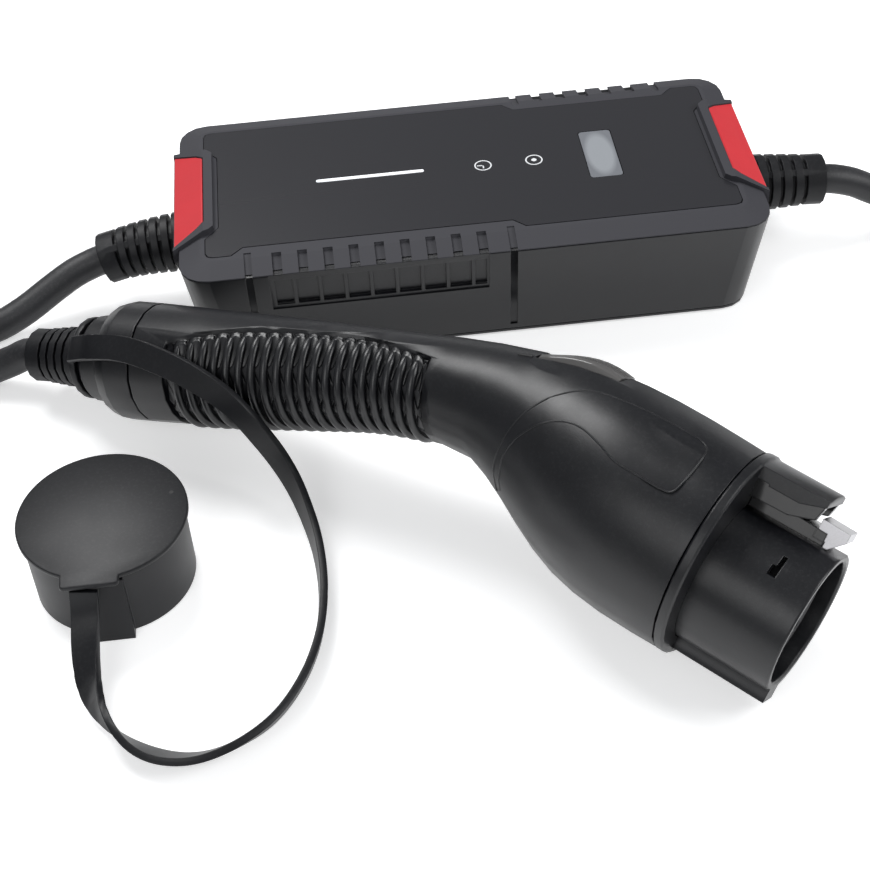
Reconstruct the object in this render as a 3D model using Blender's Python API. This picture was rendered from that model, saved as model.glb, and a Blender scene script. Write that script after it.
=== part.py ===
"""Portable car charger: an in-cable control box, a charging connector with its dust cap, and a mains plug.

The frame's origin is the centre of the control box's underside. +X runs along the box towards the mains lead,
+Y away from the connector and +Z up, with the table at z = 0. Sizes are in millimetres, turned into metres by MM.
The connector is modelled in a frame of its own: X forward along the sleeve, Y towards the thumb button, Z out of
the badge side, with its origin at the centre of the collar.
"""

import math

import bmesh
import bpy
from mathutils import Matrix, Vector

MM = 0.001
GAP = 0.3

# Control box
BASE_HALF_LENGTH = 96.4
BASE_HALF_WIDTH = 41.7
SPLIT_HALF_LENGTH = 101.3
SPLIT_HALF_WIDTH = 46.8
RIM_HALF_LENGTH = 93.6
RIM_HALF_WIDTH = 38.6
CORNER_RADIUS = 10.0
RIM_CORNER_RADIUS = 4.0
BASE_THICKNESS = 1.9
SPLIT_HEIGHT = 39.6
RIM_HEIGHT = 42.9
HOUSING_WALL = 3.4
SEAL_FLANGE_HEIGHT = 5.0
SEAL_FLANGE_WIDTH = 4.0
SEAL_INSET = 4.6
SEAL_WIDTH = 1.4
SEAL_DEPTH = 1.8
BOSS_RADIUS = 4.2
BOSS_INSET_X = 14.0
BOSS_INSET_Y = 14.0
SCREW_RADIUS = 1.5
SCREW_HEAD_RADIUS = 2.9
SCREW_HEAD_HEIGHT = 1.6
SCREW_LENGTH = 18.0

# Front panel, let into the cover
PANEL_THICKNESS = 1.5
PANEL_HALF_LENGTH = 92.0
PANEL_HALF_WIDTH = 37.4
PANEL_NOTCH_DEPTH = 4.7
PANEL_NOTCH_HALF = 21.0
PANEL_RADIUS = 2.5
PANEL_STEP = 4.0
LIGHT_BAR = (-52.5, -14.1)
LIGHT_BAR_Y = 0.7
LIGHT_BAR_WIDTH = 1.5
WINDOW = (43.5, 54.9, -13.8, 14.5)

# Rib groups on the cover's long edges: first slot's centre, number of slots, and the grooves that end the group
RIB_PITCH = 8.7
NEAR_RIBS = (-68.2, 9, -78.0, 11.6)
FAR_RIBS = (32.4, 5, 23.8, 76.6)
SLOT_WIDTH = 3.3
SLOT_DEPTH = 1.4
END_GROOVE_WIDTH = 2.5
END_GROOVE_DEPTH = 1.0
POCKET_FIN = 1.3
POCKET_FOOT = 25.2
FIELD_FOOT = 23.8
FIELD_DEPTH = 0.7
POCKET_DEPTH = 2.0

# Coloured trims over the cover's ends
BEZEL_INNER_X = 88.4
BEZEL_OUTER_X = 103.4
BEZEL_HALF = 24.0
BEZEL_FLARE = 5.0
BEZEL_RISE = 1.8
BEZEL_LIP = 3.6
TRIM_INNER_X = 92.5
TRIM_OUTER_X = 103.0
TRIM_HALF = 21.5
TRIM_FLARE = 5.2
TRIM_THICKNESS = 1.0
TRIM_RECESS = 0.4

# Leads and their strain reliefs
LEAD_RADIUS = 5.4
GLAND_Y = 0.5
GLAND_Z = 23.0
GLAND_NECK_RADIUS = 9.0
GLAND_FLANGE_RADIUS = 11.0
GLAND_FLANGE_THICKNESS = 2.2
GLAND_REACH = 131.0
BOOT_RADIUS = 10.7
BOOT_END_RADIUS = 9.2
BOOT_GROOVE = 2.1
BOOT_SPINE_ANGLE = 52.0
LEAD_SAG = 4.2
MAINS_SAG = 1.0

# Inside the box
BOARD_HALF_LENGTH = 82.0
BOARD_HALF_WIDTH = 34.0
BOARD_THICKNESS = 1.6
BOARD_HEIGHT = 8.0
STANDOFF_RADIUS = 2.6

# Connector: its place and its outline, as stations along its middle line
GUN_ORIGIN = (49.3, -182.9, 32.15)
GUN_AZIMUTH = -43.18
GUN_DIP = 7.0
GUN_ROLL = 38.73
HANDLE_TILT = 23.5
GUN_STATIONS = (
    # x, y, tilt of the section in degrees, half height, half width
    (-206.3, -45.5, HANDLE_TILT, 15.6, 15.2),
    (-205.0, -44.9, HANDLE_TILT, 18.5, 17.8),
    (-201.5, -43.4, HANDLE_TILT, 19.7, 18.9),
    (-192.2, -39.4, HANDLE_TILT, 19.6, 18.8),
    (-165.3, -27.9, HANDLE_TILT, 18.7, 18.0),
    (-138.0, -15.7, HANDLE_TILT, 17.2, 16.8),
    (-112.1, -4.7, 22.0, 15.9, 16.2),
    (-87.4, 3.7, 17.0, 17.0, 17.4),
    (-76.0, 4.8, 12.0, 19.4, 19.2),
    (-64.7, 4.5, 7.0, 23.2, 22.3),
    (-53.0, 3.2, 4.0, 27.3, 26.0),
    (-41.0, 1.7, 2.0, 30.3, 29.2),
    (-28.8, 0.8, 0.0, 31.8, 31.2),
    (-15.6, 0.2, 0.0, 32.2, 31.9),
    (-0.3, -0.1, 0.0, 31.7, 31.7),
)
END_CAP_STATION = 3
SHELL_WALL = 3.4
SHELL_HALF_SIDES = 10
COLLAR_RADIUS = 31.9
COLLAR_LENGTH = 3.3

# Sleeve and contacts
SLEEVE_RADIUS = 21.9
SLEEVE_BORE = 19.3
SLEEVE_Y = -4.3
SLEEVE_REACH = 32.8
SLEEVE_FLANGE_RADIUS = 23.5
SLEEVE_FLANGE = 3.0
SLEEVE_FLAT_Y = 16.6
KEY_HALF_WIDTH = 4.5
KEY_FOOT_Y = -29.5
CORE_RADIUS = 15.6
CORE_REACH = 28.5
CORE_ROOT = -12.0
CONTACTS = (
    # name, place across and up from the sleeve's axis, bore radius
    ("contact_live", -6.8, 5.6, 2.0),
    ("contact_neutral", 6.8, 5.6, 2.0),
    ("contact_proximity", -9.3, -4.4, 1.3),
    ("contact_pilot", 9.3, -4.4, 1.3),
    ("contact_earth", 0.0, -8.4, 1.7),
)
CONTACT_WALL = 0.9

# Latch
PIVOT = (-20.0, 20.5)
PIN_RADIUS = 2.0
LEVER_HALF_WIDTH = 4.8
LEVER_FOOT_Y = 17.2
LEVER_TOP_Y = 21.0
LEVER_REACH = 26.4
HOOK_REACH = 32.0
HOOK_HALF_WIDTH = 4.4
BUTTON = (-70.6, -45.4)
BUTTON_HALF_WIDTH = 7.2
SWITCH_Y = (8.6, 14.4)
ROOF_START = 3.0
ROOF_REACH = 23.8
ROOF_HALF_WIDTH = 9.5
ROOF_FOOT_Y = 25.4

# Grip pad: where it starts and ends along the stations, and its ribs
GRIP_START = 3.5
GRIP_END = 6.62
GRIP_RIBS = 20
GRIP_RECESS = 2.0
GRIP_SEAT_GAP = 0.45
GRIP_RIB_HEIGHT = 0.5
GRIP_GROOVE_DEPTH = 0.7
GRIP_EDGE_ANGLES = (66.0, 48.0, 40.0, 35.0, 38.0, 54.0)

# Cable neck at the handle's end
NUT_RADIUS = 14.5
NUT_LENGTH = 9.4
WASHER_RADIUS = 14.0
WASHER_BORE = 9.9
GUN_BOOT_END = 34.4
GUN_BOOT_NECK = 9.4

# Dust cap and strap
CAP_CENTRE = (-126.4, -136.5)
CAP_RADIUS = 24.7
CAP_BORE = 22.2
CAP_HEIGHT = 24.1
CAP_ROOF = 2.5
LID_RADIUS = 26.0
LID_TOP = 26.8
STRAP_WIDTH = 8.4
STRAP_THICKNESS = 2.4
STRAP_ROUTE = (
    # centre of the band, then the way its width points
    (-131.3, -163.7, 23.6, 1.00, -0.10, 0.05),
    (-131.9, -166.9, 16.5, 1.00, -0.15, 0.10),
    (-132.6, -175.0, 10.6, 0.95, -0.25, 0.20),
    (-131.6, -186.0, 7.5, 0.75, -0.45, 0.45),
    (-127.8, -195.8, 6.0, 0.45, -0.62, 0.62),
    (-121.5, -204.5, 4.9, 0.20, -0.76, 0.62),
    (-114.0, -210.3, 4.3, 0.00, -0.80, 0.60),
    (-105.0, -213.0, 4.1, 0.05, -0.74, 0.67),
    (-96.0, -212.3, 4.3, 0.15, -0.62, 0.76),
    (-86.0, -207.8, 4.5, 0.22, -0.48, 0.85),
    (-77.4, -200.5, 4.6, 0.24, -0.34, 0.91),
    (-69.7, -188.0, 4.7, 0.24, -0.18, 0.95),
    (-65.0, -174.5, 4.8, 0.20, -0.06, 0.98),
    (-63.0, -161.5, 4.9, 0.16, 0.00, 0.98),
    (-62.7, -149.8, 5.4, 0.15, 0.00, 0.98),
    (-63.7, -138.0, 6.6, 0.18, 0.00, 0.98),
    (-66.0, -127.6, 8.8, 0.26, -0.10, 0.96),
    (-69.0, -118.6, 12.6, 0.36, -0.16, 0.92),
    (-73.2, -112.6, 19.0, 0.46, -0.22, 0.86),
    (-77.4, -110.2, 26.4, 0.54, -0.26, 0.80),
    (-82.2, -108.0, 34.2, 0.54, -0.20, 0.81),
    (-87.2, -104.6, 39.0, 0.52, -0.02, 0.85),
    (-93.0, -100.2, 41.8, 0.44, 0.22, 0.86),
    (-100.0, -94.6, 43.4, 0.39, 0.42, 0.82),
    (-107.8, -88.4, 43.8, 0.42, 0.52, 0.74),
    (-115.0, -82.6, 43.2, 0.40, 0.62, 0.68),
    (-121.6, -77.9, 41.8, 0.36, 0.70, 0.62),
)
STRAP_NECK_ROUTE = (
    # along the cable neck from the handle's rear face, and out from its axis
    (-3.2, 21.6),
    (1.5, 19.8),
    (6.3, 17.2),
    (9.4, 15.6),
    (11.0, 13.4),
    (11.1, 11.6),
)

# Cords that lie on the table
BOX_LEAD_ROUTE = (
    (-131.6, 0.5, 18.7),
    (-135.6, 0.4, 17.5),
    (-143.0, -2.0, 15.6),
    (-151.0, -6.2, 12.8),
    (-161.0, -12.2, 9.2),
    (-170.5, -16.6, 6.7),
    (-177.5, -17.8, 5.8),
    (-184.4, -17.4, 5.6),
)
GUN_LEAD_ROUTE = (
    (-163.0, -41.6, 10.8),
    (-170.0, -41.1, 7.9),
    (-176.5, -42.0, 6.0),
    (-183.4, -44.4, 5.6),
)
LEAD_COIL = (-266.0, -32.0, 65.0, 16.2, 43.2)
MAINS_ROUTE = (
    (131.5, 0.5, 21.9),
    (136.5, 0.5, 21.2),
    (144.0, 0.5, 18.8),
    (153.0, 0.5, 13.9),
    (164.0, 1.0, 9.1),
    (176.0, 1.6, 6.4),
    (188.0, 2.0, 5.6),
    (199.1, 2.0, 5.6),
)
MAINS_COIL = (236.0, -58.0, 60.0, 5.5, 21.8)
MAINS_TAIL_ROUTE = (
    (296.0, -94.9, 6.4),
    (296.0, -102.0, 8.4),
    (296.0, -110.0, 11.1),
    (296.0, -115.0, 11.9),
    (296.0, -118.7, 12.0),
)

# Mains plug, lying on its back with its pins up and its cable towards the far side
PLUG_X = 296.0
PLUG_Y = -167.0
PLUG_TURN = -90.0
PLUG_BOOT_REACH = 48.0
PLUG_HALF_LENGTH = 25.0
PLUG_HALF_WIDTH = 24.5
PLUG_HEIGHT = 27.0
PLUG_CABLE_Z = 12.0
PIN_SPREAD = 22.2
PIN_OFFSET = 22.2
PIN_HEIGHT = 17.7
EARTH_PIN_HEIGHT = 22.7


# Modelling helpers


def clear_scene():
    for obj in list(bpy.data.objects):
        bpy.data.objects.remove(obj, do_unlink=True)


def material(name, colour, roughness, metallic=0.0):
    found = bpy.data.materials.get(name)
    if found:
        return found
    made = bpy.data.materials.new(name)
    made.use_nodes = True
    shader = made.node_tree.nodes["Principled BSDF"]
    shader.inputs["Base Color"].default_value = (*colour, 1.0)
    shader.inputs["Roughness"].default_value = roughness
    shader.inputs["Metallic"].default_value = metallic
    return made


def black_plastic():
    return material("black_plastic", (0.020, 0.021, 0.024), 0.45)


def cover_plastic():
    return material("cover_plastic", (0.035, 0.035, 0.042), 0.38)


def panel_plastic():
    return material("panel_plastic", (0.022, 0.024, 0.027), 0.22)


def red_plastic():
    return material("red_plastic", (0.75, 0.035, 0.04), 0.42)


def rubber():
    return material("rubber", (0.018, 0.018, 0.020), 0.62)


def window_plastic():
    return material("window_plastic", (0.42, 0.44, 0.47), 0.2)


def light_plastic():
    return material("light_plastic", (0.9, 0.9, 0.9), 0.35)


def board_green():
    return material("board_green", (0.03, 0.22, 0.09), 0.5)


def relay_blue():
    return material("relay_blue", (0.03, 0.10, 0.35), 0.4)


def steel():
    return material("steel", (0.62, 0.62, 0.64), 0.28, 1.0)


def brass():
    return material("brass", (0.75, 0.58, 0.25), 0.3, 1.0)


def link(name, mesh, look, parent):
    """A new object with this mesh. Without a look it is a cutter, which no render shows."""
    obj = bpy.data.objects.new(name, mesh)
    bpy.context.scene.collection.objects.link(obj)
    obj.parent = parent
    if look is None:
        obj.hide_render = True
        obj.display_type = "WIRE"
    else:
        mesh.materials.append(look)
    return obj


def loft(name, rings, look=None, parent=None, closed=False):
    """Skins rings of as many points each, in millimetres. Closed joins the last ring to the first."""
    shape = bmesh.new()
    rows = [[shape.verts.new(Vector(point) * MM) for point in ring] for ring in rings]
    pairs = list(zip(rows, rows[1:]))
    if closed:
        pairs.append((rows[-1], rows[0]))
    for near, far in pairs:
        for i in range(len(near)):
            j = (i + 1) % len(near)
            shape.faces.new((near[i], near[j], far[j], far[i]))
    if not closed:
        shape.faces.new(rows[0][::-1])
        shape.faces.new(rows[-1])
    bmesh.ops.recalc_face_normals(shape, faces=shape.faces)
    mesh = bpy.data.meshes.new(name)
    shape.to_mesh(mesh)
    shape.free()
    if look is not None:
        mesh.shade_smooth()
        mesh.set_sharp_from_angle(angle=math.radians(32))
    return link(name, mesh, look, parent)


def rounded(corners, radius, steps=3):
    """A polygon's outline with each corner turned into an arc. A radius may be given for each corner."""
    radii = radius if isinstance(radius, (list, tuple)) else [radius] * len(corners)
    outline = []
    for i, corner in enumerate(corners):
        here = Vector(corner)
        before = Vector(corners[i - 1]) - here
        after = Vector(corners[(i + 1) % len(corners)]) - here
        turn = before.angle(after)
        if radii[i] <= 0:
            outline.append(here)
            continue
        reach = radii[i] / math.tan(turn / 2)
        centre = here + (before.normalized() + after.normalized()).normalized() * (radii[i] / math.sin(turn / 2))
        start = here + before.normalized() * reach - centre
        end = here + after.normalized() * reach - centre
        for step in range(steps + 1):
            blend = step / steps
            spread = start.angle(end)
            weight = (math.sin((1 - blend) * spread), math.sin(blend * spread))
            outline.append(centre + (start * weight[0] + end * weight[1]) / math.sin(spread))
    return outline


def rectangle(half_x, half_y, radius, steps=3, centre=(0.0, 0.0)):
    x, y = centre
    corners = [(x - half_x, y - half_y), (x + half_x, y - half_y), (x + half_x, y + half_y), (x - half_x, y + half_y)]
    return rounded(corners, radius, steps)


def tapered(name, levels, look=None, parent=None):
    """Skins outlines at their heights: pairs of an outline and its z."""
    return loft(name, [[(x, y, z) for x, y in outline] for outline, z in levels], look, parent)


def prism(name, outline, low, high, look=None, parent=None):
    return tapered(name, [(outline, low), (outline, high)], look, parent)


def block(name, x, y, z, look=None, parent=None):
    """A box between two values along each axis."""
    outline = [(x[0], y[0]), (x[1], y[0]), (x[1], y[1]), (x[0], y[1])]
    return prism(name, outline, z[0], z[1], look, parent)


def side_prism(name, outline, low, high, look=None, parent=None):
    """An outline in X and Z, run along Y."""
    rings = [[(x, y, z) for x, z in outline] for y in (low, high)]
    return loft(name, rings, look, parent)


def turned(name, profile, frame, look=None, parent=None, sides=24, ring=False):
    """Turns pairs of a place along the axis and a radius. The frame's Z column is the axis, its offset in mm."""
    rings = []
    for along, radius in profile:
        angles = [2 * math.pi * i / sides for i in range(sides)]
        rings.append([frame @ Vector((radius * math.cos(a), radius * math.sin(a), along)) for a in angles])
    return loft(name, rings, look, parent, closed=ring)


def rod(name, start, end, radius, look=None, parent=None, sides=16):
    return turned(name, [(0, radius), ((Vector(end) - Vector(start)).length, radius)],
                  axis_frame(start, Vector(end) - Vector(start)), look, parent, sides)


def axis_frame(origin, direction):
    """A frame at a point whose Z column points along the direction."""
    return Matrix.Translation(Vector(origin)) @ Vector(direction).to_track_quat("Z", "X").to_matrix().to_4x4()


def combine(target, tool, operation):
    change = target.modifiers.new(tool.name, "BOOLEAN")
    change.operation = operation
    change.solver = "EXACT"
    change.object = tool
    tool.hide_render = True
    tool.display_type = "WIRE"


def cut(target, tool):
    combine(target, tool, "DIFFERENCE")


def weld_on(target, tool):
    combine(target, tool, "UNION")


def keep_common(target, tool):
    combine(target, tool, "INTERSECT")


def between(first, second, blend):
    return [a + (b - a) * blend for a, b in zip(first, second)]


def smooth_curve(points, steps):
    """Points of a smooth curve through the given ones, steps to each span."""
    ends = [between(points[0], points[1], -1.0), *points, between(points[-1], points[-2], -1.0)]
    curve = []
    for i in range(1, len(ends) - 2):
        for step in range(steps):
            curve.append(spline_point(ends[i - 1:i + 3], step / steps))
    curve.append(list(points[-1]))
    return curve


def spline_point(four, t):
    a, b, c, d = four
    return [
        0.5 * (2 * q + (r - p) * t + (2 * p - 5 * q + 4 * r - s) * t ** 2 + (3 * q - p - 3 * r + s) * t ** 3)
        for p, q, r, s in zip(a, b, c, d)
    ]


def station_value(table, place):
    """The table's row at a place between its rows, on the smooth curve through them."""
    index = min(int(place), len(table) - 2)
    last = len(table) - 1
    before = table[index - 1] if index > 0 else between(table[0], table[1], -1.0)
    after = table[index + 2] if index + 2 <= last else between(table[last], table[last - 1], -1.0)
    return spline_point((before, table[index], table[index + 1], after), place - index)


# Control box


def wall_at(height, inset=0.0):
    """The housing's outline at a height, or that far inside it."""
    blend = height / SPLIT_HEIGHT
    half_x = BASE_HALF_LENGTH + (SPLIT_HALF_LENGTH - BASE_HALF_LENGTH) * blend - inset
    half_y = BASE_HALF_WIDTH + (SPLIT_HALF_WIDTH - BASE_HALF_WIDTH) * blend - inset
    return rectangle(half_x, half_y, max(CORNER_RADIUS - inset, 1.5), 4)


def wall_y(height):
    return BASE_HALF_WIDTH + (SPLIT_HALF_WIDTH - BASE_HALF_WIDTH) * height / SPLIT_HEIGHT


def wall_x(height):
    return BASE_HALF_LENGTH + (SPLIT_HALF_LENGTH - BASE_HALF_LENGTH) * height / SPLIT_HEIGHT


def boss_places():
    x = BASE_HALF_LENGTH - BOSS_INSET_X
    y = BASE_HALF_WIDTH - BOSS_INSET_Y
    return [(-x, -y), (x, -y), (x, y), (-x, y)]


def rib_slots(group):
    first, count, _, _ = group
    return [first + RIB_PITCH * i for i in range(count)]


def lower_housing():
    foot = BASE_THICKNESS + GAP
    housing = tapered("lower_housing", [(wall_at(foot), foot), (wall_at(SPLIT_HEIGHT), SPLIT_HEIGHT)],
                      black_plastic())
    ledge = SPLIT_HEIGHT - SEAL_FLANGE_HEIGHT
    cut(housing, tapered("housing_room", [(wall_at(foot - 1, HOUSING_WALL), foot - 1),
                                          (wall_at(ledge, HOUSING_WALL), ledge)]))
    mouth = wall_at(SPLIT_HEIGHT, HOUSING_WALL + SEAL_FLANGE_WIDTH)
    cut(housing, prism("housing_mouth", mouth, ledge - 1, SPLIT_HEIGHT + 1))
    groove = prism("seal_groove", wall_at(SPLIT_HEIGHT, SEAL_INSET - SEAL_WIDTH / 2 - GAP),
                   SPLIT_HEIGHT - SEAL_DEPTH, SPLIT_HEIGHT + 1)
    cut(groove, prism("seal_groove_core", wall_at(SPLIT_HEIGHT, SEAL_INSET + SEAL_WIDTH / 2 + GAP),
                      0, SPLIT_HEIGHT + 2))
    cut(housing, groove)
    for side in (-1, 1):
        cut(housing, rod(f"gland_hole_{side}", (side * 80, GLAND_Y, GLAND_Z), (side * 110, GLAND_Y, GLAND_Z),
                         GLAND_NECK_RADIUS + GAP, sides=20))
    for side, group in ((-1, NEAR_RIBS), (1, FAR_RIBS)):
        cut_wall_ribs(housing, side, group)


def wall_band(name, side, x, depth, foot, top):
    """A cutter that takes this depth off a long wall between two heights."""
    inner_foot = wall_y(foot) - depth
    inner_top = wall_y(top) - depth
    outer = wall_y(top) + 5
    outline = [(inner_foot, foot), (outer, foot), (outer, top), (inner_top, top)]
    rings = [[(place, side * y, z) for y, z in outline] for place in x]
    return loft(name, rings)


def cut_wall_ribs(housing, side, group):
    """The sunk field under a rib group, its pockets, and the two grooves that run down the wall."""
    slots = rib_slots(group)
    field = (slots[0] - SLOT_WIDTH, slots[-1] + SLOT_WIDTH / 2)
    cut(housing, wall_band(f"rib_field_{side}", side, field, FIELD_DEPTH, FIELD_FOOT, SPLIT_HEIGHT + 1))
    for i, slot in enumerate(slots):
        low = slot - RIB_PITCH / 2 + POCKET_FIN
        if i == 0:
            low = slot - SLOT_WIDTH / 2
        reach = (low, slot + RIB_PITCH / 2)
        if i == len(slots) - 1:
            reach = (low, slot + SLOT_WIDTH / 2 - POCKET_FIN / 2)
        cut(housing, wall_band(f"rib_pocket_{side}_{i}", side, reach, POCKET_DEPTH, POCKET_FOOT, SPLIT_HEIGHT - 2.6))
    for place in group[2:]:
        edge = (place - END_GROOVE_WIDTH / 2, place + END_GROOVE_WIDTH / 2)
        cut(housing, wall_band(f"wall_groove_{side}_{place}", side, edge, 0.6, 4.2, SPLIT_HEIGHT + 1))


def base_cover():
    foot = 0.8
    cover = tapered("base_cover", [(wall_at(0, 1.0), 0), (wall_at(foot), foot),
                                   (wall_at(BASE_THICKNESS), BASE_THICKNESS)], black_plastic())
    lip_outer = HOUSING_WALL + GAP + 0.4
    lip = prism("base_lip", wall_at(BASE_THICKNESS, lip_outer), BASE_THICKNESS - 0.5, BASE_THICKNESS + 2)
    cut(lip, prism("base_lip_core", wall_at(BASE_THICKNESS, lip_outer + 1.4), 0, BASE_THICKNESS + 4))
    weld_on(cover, lip)
    recess = GAP + 0.5
    for i, (x, y) in enumerate(boss_places()):
        weld_on(cover, rod(f"base_boss_{i}", (x, y, 1), (x, y, 5.2), 5.0, sides=12))
        cut(cover, rod(f"base_counterbore_{i}", (x, y, -1), (x, y, recess + SCREW_HEAD_HEIGHT + GAP),
                       SCREW_HEAD_RADIUS + GAP, sides=12))
        cut(cover, rod(f"base_hole_{i}", (x, y, -1), (x, y, 9), SCREW_RADIUS + GAP, sides=8))
    for i, (x, y) in enumerate(standoff_places()):
        weld_on(cover, rod(f"standoff_{i}", (x, y, 1), (x, y, BOARD_HEIGHT - GAP), STANDOFF_RADIUS, sides=8))
    for i, (x, y) in enumerate(boss_places()):
        screw(f"cover_screw_{i + 1}", x, y, recess)


def screw(name, x, y, foot):
    head = foot + SCREW_HEAD_HEIGHT
    profile = [(foot, SCREW_HEAD_RADIUS), (head, SCREW_HEAD_RADIUS), (head, SCREW_RADIUS),
               (foot + SCREW_LENGTH, SCREW_RADIUS)]
    body = turned(name, profile, Matrix.Translation(Vector((x, y, 0))), steel(), sides=10)
    cut(body, block(f"{name}_drive", (x - 1.8, x + 1.8), (y - 0.4, y + 0.4), (foot - 1, foot + 0.8)))


def standoff_places():
    x = BOARD_HALF_LENGTH - 22
    y = BOARD_HALF_WIDTH - 4
    return [(-x, -y), (x, -y), (x, y), (-x, y)]


def panel_outline(growth=0.0):
    """The front panel's outline: ends notched for the trims, long edges stepped in at the rib groups."""
    length = PANEL_HALF_LENGTH + growth
    width = PANEL_HALF_WIDTH + growth
    notch = length - PANEL_NOTCH_DEPTH
    half = PANEL_NOTCH_HALF - growth / 2
    slant = PANEL_NOTCH_DEPTH + 1.3
    step = width - PANEL_STEP
    near = (NEAR_RIBS[2] - 1.5 + growth / 2, NEAR_RIBS[3] + 1.5 - growth / 2)
    far = (FAR_RIBS[2] - 1.5 + growth / 2, FAR_RIBS[3] + 1.5 - growth / 2)
    corners = [
        (-length, -width), (near[0] - PANEL_STEP, -width), (near[0], -step), (near[1], -step),
        (near[1] + PANEL_STEP, -width), (length, -width),
        (length, -half - slant), (notch, -half), (notch, half), (length, half + slant),
        (length, width), (far[1] + PANEL_STEP, width), (far[1], step), (far[0], step),
        (far[0] - PANEL_STEP, width), (-length, width),
        (-length, half + slant), (-notch, half), (-notch, -half), (-length, -half - slant),
    ]
    radii = [PANEL_RADIUS, 1, 1, 1, 1, PANEL_RADIUS, 1, 1, 1, 1] * 2
    return rounded(corners, radii, 2)


def bezel_outline(side, inner, outer, half, flare):
    corners = [(inner, -half + 2.5), (inner, half - 2.5), (inner + 2.5, half), (outer, half + flare),
               (outer, -half - flare), (inner + 2.5, -half)]
    return [(side * x, side * y) for x, y in corners]


def end_slope(x, rise):
    """The height of the cover's sloping end at a place along the box, raised by an amount."""
    run = (x - RIM_HALF_LENGTH) / (SPLIT_HALF_LENGTH - RIM_HALF_LENGTH)
    return RIM_HEIGHT - (RIM_HEIGHT - SPLIT_HEIGHT - GAP) * run + rise


def bezel_profile(inner, outer, rise, foot, skin):
    """X and Z of a strip that follows the sloping end and hooks over the box's edge."""
    crest = RIM_HALF_LENGTH - 1.0
    edge = SPLIT_HALF_LENGTH + GAP
    profile = [(inner, RIM_HEIGHT - skin), (inner + 0.7, end_slope(crest, rise)), (crest, end_slope(crest, rise)),
               (outer, end_slope(outer, rise))]
    if foot is None:
        return profile + [(outer, end_slope(outer, rise - skin)), (crest, end_slope(crest, rise - skin))]
    return profile + [(outer, foot), (edge, foot), (edge, SPLIT_HEIGHT + GAP + 0.6)]


def top_cover():
    split = SPLIT_HEIGHT + GAP
    rim = rectangle(RIM_HALF_LENGTH, RIM_HALF_WIDTH, RIM_CORNER_RADIUS, 4)
    soft = rectangle(RIM_HALF_LENGTH + 0.8, RIM_HALF_WIDTH + 0.8, RIM_CORNER_RADIUS + 0.5, 4)
    edge = rectangle(SPLIT_HALF_LENGTH, SPLIT_HALF_WIDTH, CORNER_RADIUS, 4)
    cover = tapered("top_cover", [(edge, split), (edge, split + 0.4), (soft, RIM_HEIGHT - 0.2),
                                  (rim, RIM_HEIGHT)], cover_plastic())
    for side in (-1, 1):
        profile = bezel_profile(BEZEL_INNER_X, BEZEL_OUTER_X, BEZEL_RISE, SPLIT_HEIGHT - BEZEL_LIP, 2.0)
        bezel = side_prism(f"bezel_{side}", [(side * x, z) for x, z in profile], -40, 40)
        outline = bezel_outline(side, BEZEL_INNER_X, BEZEL_OUTER_X, BEZEL_HALF, BEZEL_FLARE)
        keep_common(bezel, prism(f"bezel_plan_{side}", outline, 30, 50))
        weld_on(cover, bezel)
        cut(cover, end_trim(f"trim_seat_{side}", side, GAP, None))
    cut(cover, prism("panel_seat", panel_outline(GAP), RIM_HEIGHT - PANEL_THICKNESS - GAP, RIM_HEIGHT + 5))
    for side, group in ((-1, NEAR_RIBS), (1, FAR_RIBS)):
        cut_cover_ribs(cover, side, group)
    for i, (x, y) in enumerate(boss_places()):
        weld_on(cover, rod(f"cover_boss_{i}", (x, y, 5.2 + GAP), (x, y, split + 0.5), BOSS_RADIUS, sides=12))
        cut(cover, rod(f"cover_pilot_{i}", (x, y, 0), (x, y, SCREW_LENGTH + 2), SCREW_RADIUS + GAP, sides=8))
    x0, x1, y0, y1 = WINDOW
    cut(cover, block("display_port", (x0 + 1.2, x1 - 1.2), (y0 + 1.2, y1 - 1.2), (30, 50)))
    cut(cover, block("light_port", (LIGHT_BAR[0] + 2, LIGHT_BAR[1] - 2), (LIGHT_BAR_Y - 0.5, LIGHT_BAR_Y + 0.5),
                     (30, 50)))


def cut_cover_ribs(cover, side, group):
    """Slots across the cover's long bevel, and a shallow groove at each end of the group."""
    split = SPLIT_HEIGHT + GAP
    start = PANEL_HALF_WIDTH - PANEL_STEP + 3.4

    def bevel_z(y):
        run = (y - RIM_HALF_WIDTH - 0.8) / (SPLIT_HALF_WIDTH - RIM_HALF_WIDTH - 0.8)
        return RIM_HEIGHT - 0.2 - (RIM_HEIGHT - 0.6 - split) * run

    def bevel_cut(name, place, width, depth, inner):
        outer = SPLIT_HALF_WIDTH + 3
        outline = [(inner, bevel_z(inner) - depth), (outer, bevel_z(outer) - depth), (outer, 50), (inner, 50)]
        rings = [[(x, side * y, z) for y, z in outline] for x in (place - width / 2, place + width / 2)]
        return loft(name, rings)

    for i, place in enumerate(rib_slots(group)):
        cut(cover, bevel_cut(f"slot_{side}_{i}", place, SLOT_WIDTH, SLOT_DEPTH, start + 1.2))
    for place in group[2:]:
        cut(cover, bevel_cut(f"cover_groove_{side}_{place}", place, END_GROOVE_WIDTH, END_GROOVE_DEPTH, start))


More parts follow.
